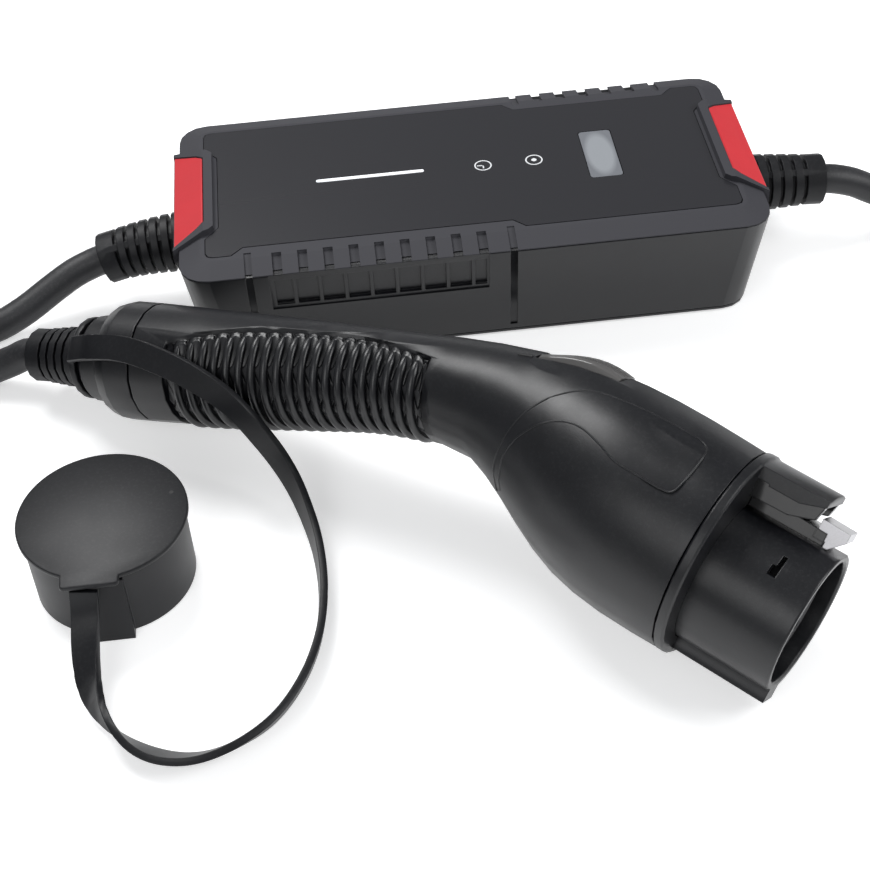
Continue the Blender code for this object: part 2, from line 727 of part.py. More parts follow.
def end_trim(name, side, growth, look):
    """The coloured strip over one end, or its seat when it is grown by a clearance."""
    rise = BEZEL_RISE - TRIM_RECESS
    crest = RIM_HALF_LENGTH - 1.0
    inner = TRIM_INNER_X - growth
    outer = TRIM_OUTER_X if look else BEZEL_OUTER_X + 2
    skin = TRIM_THICKNESS + growth
    top = rise if look else rise + 3
    profile = [(inner, end_slope(crest, top)), (crest + 0.4, end_slope(crest, top)), (outer, end_slope(outer, top)),
               (outer, end_slope(outer, rise - skin)), (inner, end_slope(crest, rise - skin))]
    strip = side_prism(name, [(side * x, z) for x, z in profile], -40, 40, look)
    flare = TRIM_FLARE * (outer - TRIM_INNER_X - 2.5) / (TRIM_OUTER_X - TRIM_INNER_X - 2.5)
    outline = bezel_outline(side, inner, outer, TRIM_HALF + growth, flare)
    keep_common(strip, prism(f"{name}_plan", outline, 30, 55))
    return strip


def housing_seal():
    seal = prism("housing_seal", wall_at(SPLIT_HEIGHT, SEAL_INSET - SEAL_WIDTH / 2),
                 SPLIT_HEIGHT - SEAL_DEPTH + GAP, SPLIT_HEIGHT, rubber())
    cut(seal, prism("seal_core", wall_at(SPLIT_HEIGHT, SEAL_INSET + SEAL_WIDTH / 2), 0, SPLIT_HEIGHT + 2))


def front_panel():
    foot = RIM_HEIGHT - PANEL_THICKNESS
    panel = prism("front_panel", panel_outline(), foot, RIM_HEIGHT + 0.1, panel_plastic())
    x0, x1, y0, y1 = WINDOW
    window = rounded([(x0, y0), (x1, y0), (x1, y1), (x0, y1)], 1.2)
    seat = rounded([(x0 - GAP, y0 - GAP), (x1 + GAP, y0 - GAP), (x1 + GAP, y1 + GAP), (x0 - GAP, y1 + GAP)], 1.4)
    cut(panel, prism("window_seat", seat, foot - 1, RIM_HEIGHT + 2))
    prism("display_window", window, foot, RIM_HEIGHT + 0.05, window_plastic())
    middle = (sum(LIGHT_BAR) / 2, LIGHT_BAR_Y)
    half = (LIGHT_BAR[1] - LIGHT_BAR[0]) / 2
    wide = LIGHT_BAR_WIDTH / 2
    cut(panel, prism("light_seat", rectangle(half + GAP, wide + GAP, wide + GAP - 0.05, 3, middle), foot - 1,
                     RIM_HEIGHT + 2))
    prism("light_bar", rectangle(half, wide, wide - 0.05, 3, middle), foot, RIM_HEIGHT + 0.1, light_plastic())


def circuit():
    """The board and what stands on it, under the cover."""
    x, y = BOARD_HALF_LENGTH, BOARD_HALF_WIDTH
    board = prism("circuit_board", rectangle(x, y, 2), BOARD_HEIGHT, BOARD_HEIGHT + BOARD_THICKNESS, board_green())
    for i, (bx, by) in enumerate(boss_places()):
        reach = BOSS_RADIUS + 1.2
        cut(board, rod(f"board_clear_{i}", (bx, by, 0), (bx, by, 20), reach, sides=10))
    top = BOARD_HEIGHT + BOARD_THICKNESS + GAP
    for name, place in (("relay_1", -18), ("relay_2", 4)):
        relay = prism(name, rectangle(9.5, 8, 1, 2, (place, -18)), top, top + 15.5, relay_blue())
        cut(relay, block(f"{name}_mark", (place - 6, place + 6), (-19, -17), (top + 15, top + 20)))
    prism("power_module", rectangle(17, 11, 1.5, 2, (-30, 16)), top, top + 16, black_plastic())
    sensor = turned("current_sensor", [(-5, 9), (5, 9), (5, 4.2), (-5, 4.2)],
                    axis_frame((40, -12, top + 9.2), (1, 0, 0)), black_plastic(), ring=True, sides=20)
    weld_on(sensor, block("sensor_foot", (35.5, 44.5), (-19, -5), (top, top + 2.5)))
    terminals = prism("terminal_block", rectangle(6, 16, 0.8, 2, (64, 2)), top, top + 12, board_green())
    for i in range(4):
        middle = 2 + (i - 1.5) * 7.6
        cut(terminals, rod(f"terminal_screw_{i}", (64, middle, top + 6), (64, middle, top + 14), 2.2, sides=10))
        cut(terminals, block(f"terminal_mouth_{i}", (66, 72), (middle - 2.4, middle + 2.4), (top + 1.5, top + 5)))
    x0, x1, y0, y1 = WINDOW
    prism("display_module", rectangle((x1 - x0) / 2 + 4, (y1 - y0) / 2 + 4, 1, 2, ((x0 + x1) / 2, (y0 + y1) / 2)),
          SPLIT_HEIGHT - 4, SPLIT_HEIGHT, board_green())


def boot_profile(start, end, rings, neck):
    """A ringed strain relief: neck, collar, rings that taper outwards, and an end collar."""
    profile = [(start, neck), (start + 1.6, neck)] if neck else []
    first = profile[-1][0] if profile else start
    profile += [(first, BOOT_RADIUS), (first + 4.2, BOOT_RADIUS)]
    length = end - first - 4.2
    pitch = length / (rings + 0.9)
    for i in range(rings):
        place = first + 4.2 + pitch * i
        radius = BOOT_RADIUS + (BOOT_END_RADIUS - BOOT_RADIUS) * (i + 1) / rings
        profile += [(place, radius - BOOT_GROOVE), (place + 0.36 * pitch, radius - BOOT_GROOVE),
                    (place + 0.36 * pitch, radius), (place + pitch, radius)]
    return profile + [(end, BOOT_END_RADIUS)]


def box_strain_relief(name, side, rings, sag):
    """A strain relief in the box's end wall, with a flange inside it. It sags towards its far end."""
    inner = wall_x(GLAND_Z - GLAND_FLANGE_RADIUS) - HOUSING_WALL - GAP
    outside = wall_x(GLAND_Z + BOOT_RADIUS) + GAP
    profile = [(inner - GLAND_FLANGE_THICKNESS, GLAND_FLANGE_RADIUS), (inner, GLAND_FLANGE_RADIUS),
               (inner, GLAND_NECK_RADIUS), (outside, GLAND_NECK_RADIUS)]
    profile += boot_profile(outside, GLAND_REACH, rings, None)

    def section(along, points):
        """Places points, given across the box and up, on the sagging axis."""
        run = GLAND_REACH - outside
        part = max(0.0, (along - outside) / run)
        lean = math.atan(2 * sag * part / run)
        centre = Vector((side * along, GLAND_Y, GLAND_Z - sag * part ** 2))
        up = Vector((side * math.sin(lean), 0, math.cos(lean)))
        return [centre + Vector((0, across, 0)) + up * high for across, high in points]

    sides = 14
    circle = [2 * math.pi * i / sides for i in range(sides)]
    body = [section(along, [(radius * math.cos(a), radius * math.sin(a)) for a in circle])
            for along, radius in profile]
    boot = loft(name, body, rubber())
    spine = math.radians(BOOT_SPINE_ANGLE)
    out = (-math.cos(spine), math.sin(spine))
    corners = [(out[0] * r - out[1] * w, out[1] * r + out[0] * w) for r, w in
               ((5.5, -1.2), (BOOT_END_RADIUS - 0.2, -1.2), (BOOT_END_RADIUS - 0.2, 1.2), (5.5, 1.2))]
    places = [outside + 2 + (GLAND_REACH - 5 - outside) * i / 3 for i in range(4)]
    weld_on(boot, loft(f"{name}_spine", [section(along, corners) for along in places]))


# Connector


def gun_matrix():
    """The connector's frame in the part: forward, towards the button, and out of the badge side."""
    azimuth, dip, roll = (math.radians(a) for a in (GUN_AZIMUTH, GUN_DIP, GUN_ROLL))
    forward = Vector((math.cos(azimuth) * math.cos(dip), math.sin(azimuth) * math.cos(dip), -math.sin(dip)))
    side = Vector((math.sin(azimuth), -math.cos(azimuth), 0))
    badge = math.cos(roll) * side + math.sin(roll) * side.cross(forward)
    button = badge.cross(forward)
    turn = Matrix((forward, button, badge)).transposed().to_4x4()
    return Matrix.Translation(Vector(GUN_ORIGIN) * MM) @ turn


def empty(name, matrix, parent=None):
    obj = bpy.data.objects.new(name, None)
    bpy.context.scene.collection.objects.link(obj)
    obj.parent = parent
    obj.matrix_local = matrix
    return obj


def gun_point(row, angle, offset=0.0, least=None):
    """A point of the connector's skin: a station's row, and the angle round it from the button side."""
    x, y, tilt, high, wide = row
    lean = math.radians(tilt)
    up = (high + offset) * math.cos(angle)
    out = (wide + offset) * math.sin(angle)
    if least is not None:
        out = max(out, least) if least > 0 else min(out, least)
    return (x - up * math.sin(lean), y + up * math.cos(lean), out)


def half_shell(name, side, gun):
    """One handle half: a C-shaped section lofted through the stations, open at both ends."""
    least = side * GAP / 2
    angles = [side * math.pi * i / SHELL_HALF_SIDES for i in range(SHELL_HALF_SIDES + 1)]
    places = [END_CAP_STATION + 0.02]
    places += [i * 0.75 for i in range(5, 18)]
    places += [len(GUN_STATIONS) - 1.5, len(GUN_STATIONS) - 1]
    rings = []
    for place in places:
        row = station_value(GUN_STATIONS, place)
        outer = [gun_point(row, a, 0.0, least) for a in angles]
        inner = [gun_point(row, a, -SHELL_WALL, least) for a in reversed(angles)]
        rings.append(outer + inner)
    return loft(name, rings, black_plastic(), gun)


def grip_ring(place, blend, growth, outer, inner):
    """A section of the grip pad: it wraps the finger side and leaves the button side free."""
    row = station_value(GUN_STATIONS, place)
    edge = math.radians(station_value([[a] for a in GRIP_EDGE_ANGLES], blend * (len(GRIP_EDGE_ANGLES) - 1))[0])
    edge -= growth / row[3]
    margin = 1.6 / row[3]
    steps = 8
    angles = [edge, edge + margin]
    angles += [edge + margin * 1.6 + (2 * math.pi - 2 * edge - 3.2 * margin) * i / steps for i in range(steps + 1)]
    angles += [2 * math.pi - edge - margin, 2 * math.pi - edge]
    rim = (0, 1, len(angles) - 2, len(angles) - 1)
    ring = [gun_point(row, a, min(outer, 0.0) if i in rim and growth == 0 else outer) for i, a in enumerate(angles)]
    back = [edge + (2 * math.pi - 2 * edge) * i / 6 for i in range(7)]
    return ring + [gun_point(row, a, inner) for a in reversed(back)]


def grip_pad(gun):
    """The ribbed pad let into both handle halves."""
    span = GRIP_END - GRIP_START
    margin = 0.022
    pitch = (1 - 2 * margin) / GRIP_RIBS
    inner = GRIP_SEAT_GAP - GRIP_RECESS
    rings = [grip_ring(GRIP_START, 0.0, 0.0, -0.2, inner)]
    for i in range(GRIP_RIBS):
        start = margin + pitch * i
        for part, height in ((0.0, -GRIP_GROOVE_DEPTH), (0.28, GRIP_RIB_HEIGHT), (0.72, GRIP_RIB_HEIGHT)):
            blend = start + pitch * part
            rings.append(grip_ring(GRIP_START + span * blend, blend, 0.0, height, inner))
    rings.append(grip_ring(GRIP_START + span * (1 - margin), 1 - margin, 0.0, -GRIP_GROOVE_DEPTH, inner))
    rings.append(grip_ring(GRIP_END, 1.0, 0.0, -0.2, inner))
    loft("grip_pad", rings, rubber(), gun)
    steps = 14
    seat = []
    for i in range(steps + 1):
        blend = i / steps
        place = GRIP_START - 0.012 + (span + 0.024) * blend
        seat.append(grip_ring(place, blend, GAP, 4.0, -GRIP_RECESS))
    return loft("grip_seat", seat, None, gun)


def handle_shells(gun):
    seat = grip_pad(gun)
    for name, side in (("handle_shell_left", 1), ("handle_shell_right", -1)):
        shell = half_shell(name, side, gun)
        cut(shell, seat)
        low, high = BUTTON[0] - 0.6, BUTTON[1] + 0.6
        cut(shell, block(f"button_port_{side}", (low, high), (12, 50),
                         (-BUTTON_HALF_WIDTH - 0.5, BUTTON_HALF_WIDTH + 0.5), None, gun))
        boss = rod(f"pin_boss_{side}", (*PIVOT, side * (LEVER_HALF_WIDTH + 0.4)), (*PIVOT, side * 22.6), 4.4, None,
                   gun, 14)
        weld_on(shell, boss)
        if side < 0:
            weld_on(shell, block("switch_shelf", (-67, -52), (SWITCH_Y[0] - GAP - 2.5, SWITCH_Y[0] - GAP),
                                 (-21.0, -0.4), None, gun))
        cut(shell, rod(f"pin_hole_{side}", (*PIVOT, 0), (*PIVOT, side * 14.3), PIN_RADIUS + GAP, None, gun, 14))


def handle_end_cap(gun):
    """The rounded end of the handle, plugged into the two halves."""
    angles = [2 * math.pi * i / 20 for i in range(20)]
    rows = [(0, 0.0), (0.5, 0.0), (1, 0.0), (2, 0.0), (END_CAP_STATION, 0.0), (END_CAP_STATION, -SHELL_WALL - GAP),
            (END_CAP_STATION + 0.3, -SHELL_WALL - GAP)]
    rings = [[gun_point(station_value(GUN_STATIONS, place), a, offset) for a in angles] for place, offset in rows]
    rings[-3] = [gun_point(station_value(GUN_STATIONS, END_CAP_STATION - 0.02), a) for a in angles]
    rings[-2] = [gun_point(station_value(GUN_STATIONS, END_CAP_STATION - 0.02), a, -SHELL_WALL - GAP)
                 for a in angles]
    loft("handle_end_cap", rings, black_plastic(), gun)


def neck_frame():
    """Along the cable neck: its origin on the handle's rear face, its Z column back along the cable."""
    x, y, tilt, _, _ = GUN_STATIONS[0]
    lean = math.radians(tilt + 1)
    direction = Vector((-math.cos(lean), -math.sin(lean), 0))
    return axis_frame((x, y, 0), direction)


def cable_neck(gun):
    frame = neck_frame()
    nut = [(GAP, 13.4), (1.2, NUT_RADIUS), (NUT_LENGTH - 2.2, NUT_RADIUS), (NUT_LENGTH, NUT_RADIUS - 1.9)]
    turned("cable_nut", nut, frame, black_plastic(), gun)
    neck = NUT_LENGTH + GAP
    shoulder = neck + STRAP_THICKNESS + 2 * GAP
    profile = [(neck, GUN_BOOT_NECK), (shoulder, GUN_BOOT_NECK)]
    profile += boot_profile(shoulder, GUN_BOOT_END, 4, None)
    turned("connector_strain_relief", profile, frame, rubber(), gun, sides=14)


def collar_and_guard(gun):
    """The collar ring at the head's mouth, and the guard over the latch that stands out from it."""
    frame = axis_frame((0, 0, 0), (1, 0, 0))
    profile = [(0, COLLAR_RADIUS - 0.6), (0.5, COLLAR_RADIUS), (COLLAR_LENGTH - 0.6, COLLAR_RADIUS),
               (COLLAR_LENGTH, COLLAR_RADIUS - 0.6)]
    collar = turned("collar_ring", profile, frame, black_plastic(), gun, sides=36)
    roof = turned("guard_arc", [(ROOF_START - 1, COLLAR_RADIUS - 0.6), (ROOF_REACH, COLLAR_RADIUS - 0.6)], frame,
                  None, gun, sides=36)
    x = ROOF_REACH
    outline = [(0.5, ROOF_FOOT_Y + 0.6), (7, ROOF_FOOT_Y + 0.6), (7, ROOF_FOOT_Y), (16.6, ROOF_FOOT_Y),
               (x + 1, ROOF_FOOT_Y + 2.8), (x + 1, 40), (0.5, 40)]
    rings = [[(a, b, z) for a, b in outline] for z in (-ROOF_HALF_WIDTH, ROOF_HALF_WIDTH)]
    keep_common(roof, loft("guard_section", rings, None, gun))
    weld_on(collar, roof)
    axis = axis_frame((0, SLEEVE_Y, 0), (1, 0, 0))
    cut(collar, turned("collar_bore", [(-2, SLEEVE_RADIUS + GAP), (6, SLEEVE_RADIUS + GAP)], axis, None, gun, 32))
    port = LEVER_HALF_WIDTH + 0.8
    cut(collar, block("latch_port", (-2, COLLAR_LENGTH + 0.2), (12, LEVER_TOP_Y + 3.2), (-port, port), None, gun))
    key = KEY_HALF_WIDTH + GAP
    cut(collar, block("key_port", (-2, 6), (KEY_FOOT_Y - GAP, -20), (-key, key), None, gun))


def connector_sleeve(gun):
    axis = axis_frame((0, SLEEVE_Y, 0), (1, 0, 0))
    back = -GAP - SLEEVE_FLANGE
    profile = [(back, SLEEVE_BORE), (back, SLEEVE_FLANGE_RADIUS), (-GAP, SLEEVE_FLANGE_RADIUS),
               (-GAP, SLEEVE_RADIUS), (SLEEVE_REACH - 0.6, SLEEVE_RADIUS), (SLEEVE_REACH, SLEEVE_RADIUS - 0.6),
               (SLEEVE_REACH, SLEEVE_BORE + 0.6), (SLEEVE_REACH - 0.6, SLEEVE_BORE)]
    sleeve = turned("connector_sleeve", profile, axis, black_plastic(), gun, 32, ring=True)
    key = block("sleeve_key", (GAP, SLEEVE_REACH), (KEY_FOOT_Y, SLEEVE_Y - SLEEVE_RADIUS + 1.2),
                (-KEY_HALF_WIDTH, KEY_HALF_WIDTH), None, gun)
    weld_on(sleeve, key)
    flat = LEVER_HALF_WIDTH + 4
    cut(sleeve, block("sleeve_flat", (-10, 50), (SLEEVE_FLAT_Y, 50), (-flat, flat), None, gun))
    cut(sleeve, block("badge_side_slot", (19.4, 21.9), (6.2, 9.0), (10, 30), None, gun))
    cut(sleeve, block("badge_side_slot_leg", (20.6, 21.9), (6.2, 11.8), (10, 30), None, gun))


def contacts(gun):
    """The insulating core, its five sockets, and the flange that holds it in the head."""
    axis = axis_frame((0, SLEEVE_Y, 0), (1, 0, 0))
    back = -GAP - SLEEVE_FLANGE
    flange = SLEEVE_FLANGE_RADIUS - GAP
    profile = [(CORE_ROOT, flange), (back - GAP, flange), (back - GAP, CORE_RADIUS),
               (CORE_REACH - 0.6, CORE_RADIUS), (CORE_REACH, CORE_RADIUS - 0.6)]
    core = turned("contact_block", profile, axis, black_plastic(), gun, 24)
    cut(core, block("core_latch_clear", (-30, 40), (LEVER_FOOT_Y - 4.2, 60), (-9, 9), None, gun))
    for name, across, up, bore in CONTACTS:
        place = (0, SLEEVE_Y + up, across)
        outer = bore + CONTACT_WALL
        frame = axis_frame(place, (1, 0, 0))
        cut(core, turned(f"{name}_seat", [(CORE_ROOT - 1, outer + GAP), (CORE_REACH - 2, outer + GAP)], frame,
                         None, gun, 10))
        cut(core, turned(f"{name}_mouth", [(CORE_REACH - 3, bore), (CORE_REACH + 1, bore + 0.6)], frame, None, gun,
                         10))
        socket = turned(name, [(CORE_ROOT - 5, outer), (CORE_REACH - 2 - GAP, outer)], frame, brass(), gun, 10)
        cut(socket, turned(f"{name}_bore", [(2, bore), (CORE_REACH, bore)], frame, None, gun, 10))


def latch(gun):
    """Thumb button, lever and hook, which turn together on a pin across the head."""
    px, py = PIVOT
    axis = empty("latch_axis", Matrix.Translation(Vector((px, py, 0)) * MM), gun)

    def side_plate(name, outline, half, look, steps=2, radius=0.0):
        points = rounded(outline, radius, steps) if radius else outline
        rings = [[(x - px, y - py, z) for x, y in points] for z in (-half, half)]
        return loft(name, rings, look, axis)

    seat = BUTTON[0] + 4
    lever = side_plate("latch_lever", [
        (seat, 19.4), (seat + 18, 18.2), (px - 6, LEVER_FOOT_Y - 0.6), (px + 6, LEVER_FOOT_Y),
        (LEVER_REACH, LEVER_FOOT_Y), (LEVER_REACH, LEVER_TOP_Y), (px + 6, LEVER_TOP_Y + 1.6),
        (px, LEVER_TOP_Y + 3.6), (px - 6, LEVER_TOP_Y + 2.8), (seat + 22, 22.0), (seat, 22.0),
    ], LEVER_HALF_WIDTH, panel_plastic())
    cut(lever, rod("lever_bore", (0, 0, -10), (0, 0, 10), PIN_RADIUS + GAP, None, axis, 14))
    slot = HOOK_REACH - LEVER_REACH
    hook_root = LEVER_REACH - 3.0
    cut(lever, block("hook_slot", (hook_root - GAP - px, 60), (LEVER_FOOT_Y + 1.2 - py, 20),
                     (-HOOK_HALF_WIDTH - GAP, HOOK_HALF_WIDTH + GAP), None, axis))
    side_plate("latch_hook", [
        (hook_root, LEVER_FOOT_Y + 1.5), (LEVER_REACH + GAP, LEVER_FOOT_Y + 1.5), (LEVER_REACH + GAP, 17.0),
        (LEVER_REACH + 0.3 * slot, 17.0), (HOOK_REACH, 21.0), (HOOK_REACH, 23.8), (hook_root, 24.1),
    ], HOOK_HALF_WIDTH, steel())
    button_body(axis, px, py)
    rod("latch_pin", (px, py, -14), (px, py, 14), PIN_RADIUS, steel(), gun, 14)


def button_body(axis, px, py):
    """The thumb button: a low pad whose top follows the head, hooked over the lever's end."""
    start, end = BUTTON
    wide = BUTTON_HALF_WIDTH
    rings = []
    for i in range(9):
        x = start + (end - start) * i / 8
        row = station_value(GUN_STATIONS, station_place(x))
        skin = row[1] + row[3] - 0.2
        swell = 2.4 * math.sin(math.pi * min(1.0, (i + 0.6) / 6) * 0.5) * (1 - (i / 8) ** 3)
        crown = skin + swell
        edge = crown - 1.4
        section = [(-wide, 22.3), (wide, 22.3), (wide, edge), (wide - 1.8, crown), (-wide + 1.8, crown), (-wide, edge)]
        rings.append([(x - px, y - py, z) for z, y in section])
    loft("thumb_button", rings, black_plastic(), axis)


def station_place(x):
    """Where along the stations the middle line has this x."""
    for i, (near, far) in enumerate(zip(GUN_STATIONS, GUN_STATIONS[1:])):
        if near[0] <= x <= far[0]:
            return i + (x - near[0]) / (far[0] - near[0])
    return 0.0


def handle_inside(gun):
    """What the head holds behind the contacts: the latch switch, and the clamp that grips the cable."""
    switch = block("latch_switch", (-66, -53), SWITCH_Y, (-3, 3), black_plastic(), gun)
    weld_on(switch, block("switch_key", (-62, -60), (SWITCH_Y[1] - 1, SWITCH_Y[1] + 1.4), (-1.5, 1.5), None, gun))
    frame = axis_frame((-118, -7.2, 0), (math.cos(math.radians(22.5)), math.sin(math.radians(22.5)), 0))
    turned("cable_clamp", [(-5, 12.1), (5, 12.1), (5, LEAD_RADIUS + GAP), (-5, LEAD_RADIUS + GAP)], frame, steel(),
           gun, 20, ring=True)


# Dust cap


def dust_cap():
    x, y = CAP_CENTRE
    frame = Matrix.Translation(Vector((x, y, 0)))
    profile = [(0, CAP_BORE), (0, CAP_RADIUS), (CAP_HEIGHT, CAP_RADIUS)]
    body = turned("cap_body", profile[1:], frame, rubber(), sides=40)
    cut(body, turned("cap_room", [(-1, CAP_BORE), (CAP_HEIGHT - CAP_ROOF, CAP_BORE)], frame, sides=40))
    wedge = tapered("cap_wedge", [
        ([(x - 5.6, y - CAP_RADIUS - 2.4), (x + 6.4, y - CAP_RADIUS - 2.4), (x + 6.4, y - 23), (x - 5.6, y - 23)], 0),
        ([(x - 0.2, y - CAP_RADIUS - 0.4), (x + 6.4, y - CAP_RADIUS - 0.4), (x + 6.4, y - 23), (x - 0.2, y - 23)],
         CAP_HEIGHT),
    ])
    weld_on(body, wedge)
    low = CAP_HEIGHT + GAP
    lid = turned("cap_lid", [(low, LID_RADIUS - 0.9), (low + 0.9, LID_RADIUS - 0.9), (low + 0.9, LID_RADIUS),
                             (LID_TOP - 0.5, LID_RADIUS), (LID_TOP, LID_RADIUS - 0.6)], frame, rubber(), sides=40)
    tab = prism("lid_tab", rounded([(x - 11.5, y - 28.4), (x + 5.8, y - 28.4), (x + 5.8, y - 18), (x - 11.5, y - 18)],
                                   1.2), low, LID_TOP - 0.6)
    weld_on(lid, tab)


def strap(gun):
    """The flat strap from the cap's tab to an eyelet round the cable neck."""
    neck = gun_matrix()
    neck.translation = neck.translation / MM
    neck = neck @ neck_frame()
    outward = (Vector(STRAP_ROUTE[-1][:3]) - neck.translation)
    back = neck.col[2].to_3d()
    outward = (outward - back * outward.dot(back)).normalized()
    across = outward.cross(back)
    rows = [list(row) for row in STRAP_ROUTE]
    sign = 1 if across.dot(Vector(rows[-1][3:])) > 0 else -1
    for along, out in STRAP_NECK_ROUTE:
        place = neck.translation + back * along + outward * out
        rows.append([*place, *(across * sign)])
    curve = smooth_curve(rows, 2)
    rings = []
    for i, row in enumerate(curve):
        ahead = Vector(curve[min(i + 1, len(curve) - 1)][:3]) - Vector(curve[max(i - 1, 0)][:3])
        ahead.normalize()
        width = Vector(row[3:])
        width = (width - ahead * width.dot(ahead)).normalized()
        thick = ahead.cross(width)
        rings.append(strap_section(Vector(row[:3]), width, thick))
    band = loft("cap_strap", rings, rubber())
    start = NUT_LENGTH + GAP + GAP / 2
    eyelet = [(start, WASHER_BORE), (start, WASHER_RADIUS), (start + STRAP_THICKNESS, WASHER_RADIUS),
              (start + STRAP_THICKNESS, WASHER_BORE)]
    weld_on(band, turned("strap_eyelet", eyelet, neck, sides=20, ring=True))


def strap_section(place, width, thick):
    half, slim = STRAP_WIDTH / 2, STRAP_THICKNESS / 2
    corners = [(-half, -slim), (half, -slim), (half, slim), (-half, slim)]
    return [place + width * a + thick * b for a, b in corners]


# Cords and plug


def tube(name, route, steps=2):
    """A cord's free stretch: a round tube along a smooth curve through its route."""
    curve = bpy.data.curves.new(name, "CURVE")
    curve.dimensions = "3D"
    curve.bevel_depth = LEAD_RADIUS * MM
    curve.bevel_resolution = 2
    curve.use_fill_caps = True
    points = smooth_curve(route, steps)
    spline = curve.splines.new("POLY")
    spline.points.add(len(points) - 1)
    for slot, point in zip(spline.points, points):
        slot.co = (*(Vector(point) * MM), 1.0)
    obj = bpy.data.objects.new(name, curve)
    bpy.context.scene.collection.objects.link(obj)
    curve.materials.append(rubber())


def coil(name, values):
    """The outer shape of a coil that lies on the table."""
    x, y, radius, half, high = values
    profile = [(0, radius - half), (0, radius + half), (high, radius + half), (high, radius - half)]
    turned(name, profile, Matrix.Translation(Vector((x, y, 0))), rubber(), sides=32, ring=True)


def cords():
    neck = gun_matrix()
    neck.translation = neck.translation / MM
    neck = neck @ neck_frame()
    start = neck @ Vector((0, 0, GUN_BOOT_END + 2 * GAP))
    tube("lead_tube_box_end", BOX_LEAD_ROUTE)
    level = neck @ Vector((0, 0, GUN_BOOT_END + 6))
    tube("lead_tube_gun_end", (tuple(start), tuple(level), *GUN_LEAD_ROUTE))
    coil("lead_coil", LEAD_COIL)
    tube("mains_tube", MAINS_ROUTE)
    coil("mains_coil", MAINS_COIL)
    tube("mains_tail", MAINS_TAIL_ROUTE)


def mains_plug():
    turn = Matrix.Rotation(math.radians(PLUG_TURN), 4, "Z")
    plug = empty("plug_frame", Matrix.Translation(Vector((PLUG_X, PLUG_Y, 0)) * MM) @ turn)
    long, wide = PLUG_HALF_LENGTH, PLUG_HALF_WIDTH

    def outline(inset):
        corners = [(inset - long, inset - wide * 0.62), (-long * 0.25, inset - wide),
                   (long - inset, inset - wide * 0.86), (long - inset, wide * 0.86 - inset),
                   (-long * 0.25, wide - inset), (inset - long, wide * 0.62 - inset)]
        return rounded(corners, [6, 8, 9, 9, 8, 6], 3)

    body = tapered("plug_body", [(outline(3.5), 0), (outline(1.0), 3), (outline(0), 9), (outline(0), PLUG_HEIGHT - 1),
                                 (outline(0.8), PLUG_HEIGHT)], black_plastic(), plug)
    live_x = -4.0
    pins = (("plug_pin_live", live_x, -PIN_SPREAD / 2, 2.0, 3.2, PIN_HEIGHT),
            ("plug_pin_neutral", live_x, PIN_SPREAD / 2, 2.0, 3.2, PIN_HEIGHT),
            ("plug_pin_earth", live_x + PIN_OFFSET - 4.0, 0.0, 4.0, 2.0, EARTH_PIN_HEIGHT))
    for name, px, py, half_x, half_y, high in pins:
        root = PLUG_HEIGHT - 8
        cut(body, block(f"{name}_seat", (px - half_x - GAP, px + half_x + GAP), (py - half_y - GAP, py + half_y + GAP),
                        (root - GAP, PLUG_HEIGHT + 5), parent=plug))
        tip = 0.8
        plan = rectangle(half_x, half_y, 0.4, 2, (px, py))
        small = rectangle(half_x - tip, half_y - tip, 0.2, 2, (px, py))
        tapered(name, [(plan, root), (plan, PLUG_HEIGHT + high - 1.5), (small, PLUG_HEIGHT + high)], brass(), plug)
    fuse = rectangle(9.5, 4.6, 1, 2, (live_x + 3.0, 0.0))
    seat = rectangle(9.5 + GAP, 4.6 + GAP, 1.2, 2, (live_x + 3.0, 0.0))
    cut(body, prism("fuse_seat", seat, PLUG_HEIGHT - 4 - GAP, PLUG_HEIGHT + 5, parent=plug))
    carrier = prism("plug_fuse_carrier", fuse, PLUG_HEIGHT - 4, PLUG_HEIGHT - 0.2, red_plastic(), plug)
    cut(carrier, block("fuse_lift_slot", (live_x - 4.5, live_x - 2.5), (-2.5, 2.5),
                       (PLUG_HEIGHT - 1.4, PLUG_HEIGHT + 3), parent=plug))
    frame = axis_frame((0, 0, PLUG_CABLE_Z), (-1, 0, 0))
    cut(body, turned("plug_gland_seat", [(long - 3, 8.0 + GAP), (long + 9, 8.0 + GAP)], frame, None, plug, 18))
    profile = [(long - 3 + GAP, 8.0), (long + 3, 8.0)]
    for i in range(4):
        place = long + 3 + 4.8 * i
        radius = 8.6 - 0.45 * i
        profile += [(place, radius - 1.6), (place + 1.8, radius - 1.6), (place + 1.8, radius), (place + 4.8, radius)]
    turned("plug_strain_relief", [*profile, (PLUG_BOOT_REACH, 7.2)], frame, rubber(), plug, 14)


def build():
    clear_scene()
    lower_housing()
    base_cover()
    top_cover()
    housing_seal()
    front_panel()
    end_trim("end_trim_left", -1, 0.0, red_plastic())
    end_trim("end_trim_right", 1, 0.0, red_plastic())
    circuit()
    box_strain_relief("lead_strain_relief", -1, 6, LEAD_SAG)
    box_strain_relief("mains_strain_relief", 1, 5, MAINS_SAG)
    gun = empty("connector_frame", gun_matrix())
    handle_shells(gun)
    handle_end_cap(gun)
    cable_neck(gun)
    collar_and_guard(gun)
    connector_sleeve(gun)
    contacts(gun)
    latch(gun)
    handle_inside(gun)
    dust_cap()
    strap(gun)
    cords()
    mains_plug()


build()
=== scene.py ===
"""Portable electric car charger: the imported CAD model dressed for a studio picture, laid out as an add-on."""

import math
from collections import namedtuple

import bmesh
import bpy
from bpy.props import FloatProperty, FloatVectorProperty, IntProperty, PointerProperty
from bpy.types import Operator, Panel, PropertyGroup
from mathutils import Matrix, Vector
from mathutils.bvhtree import BVHTree


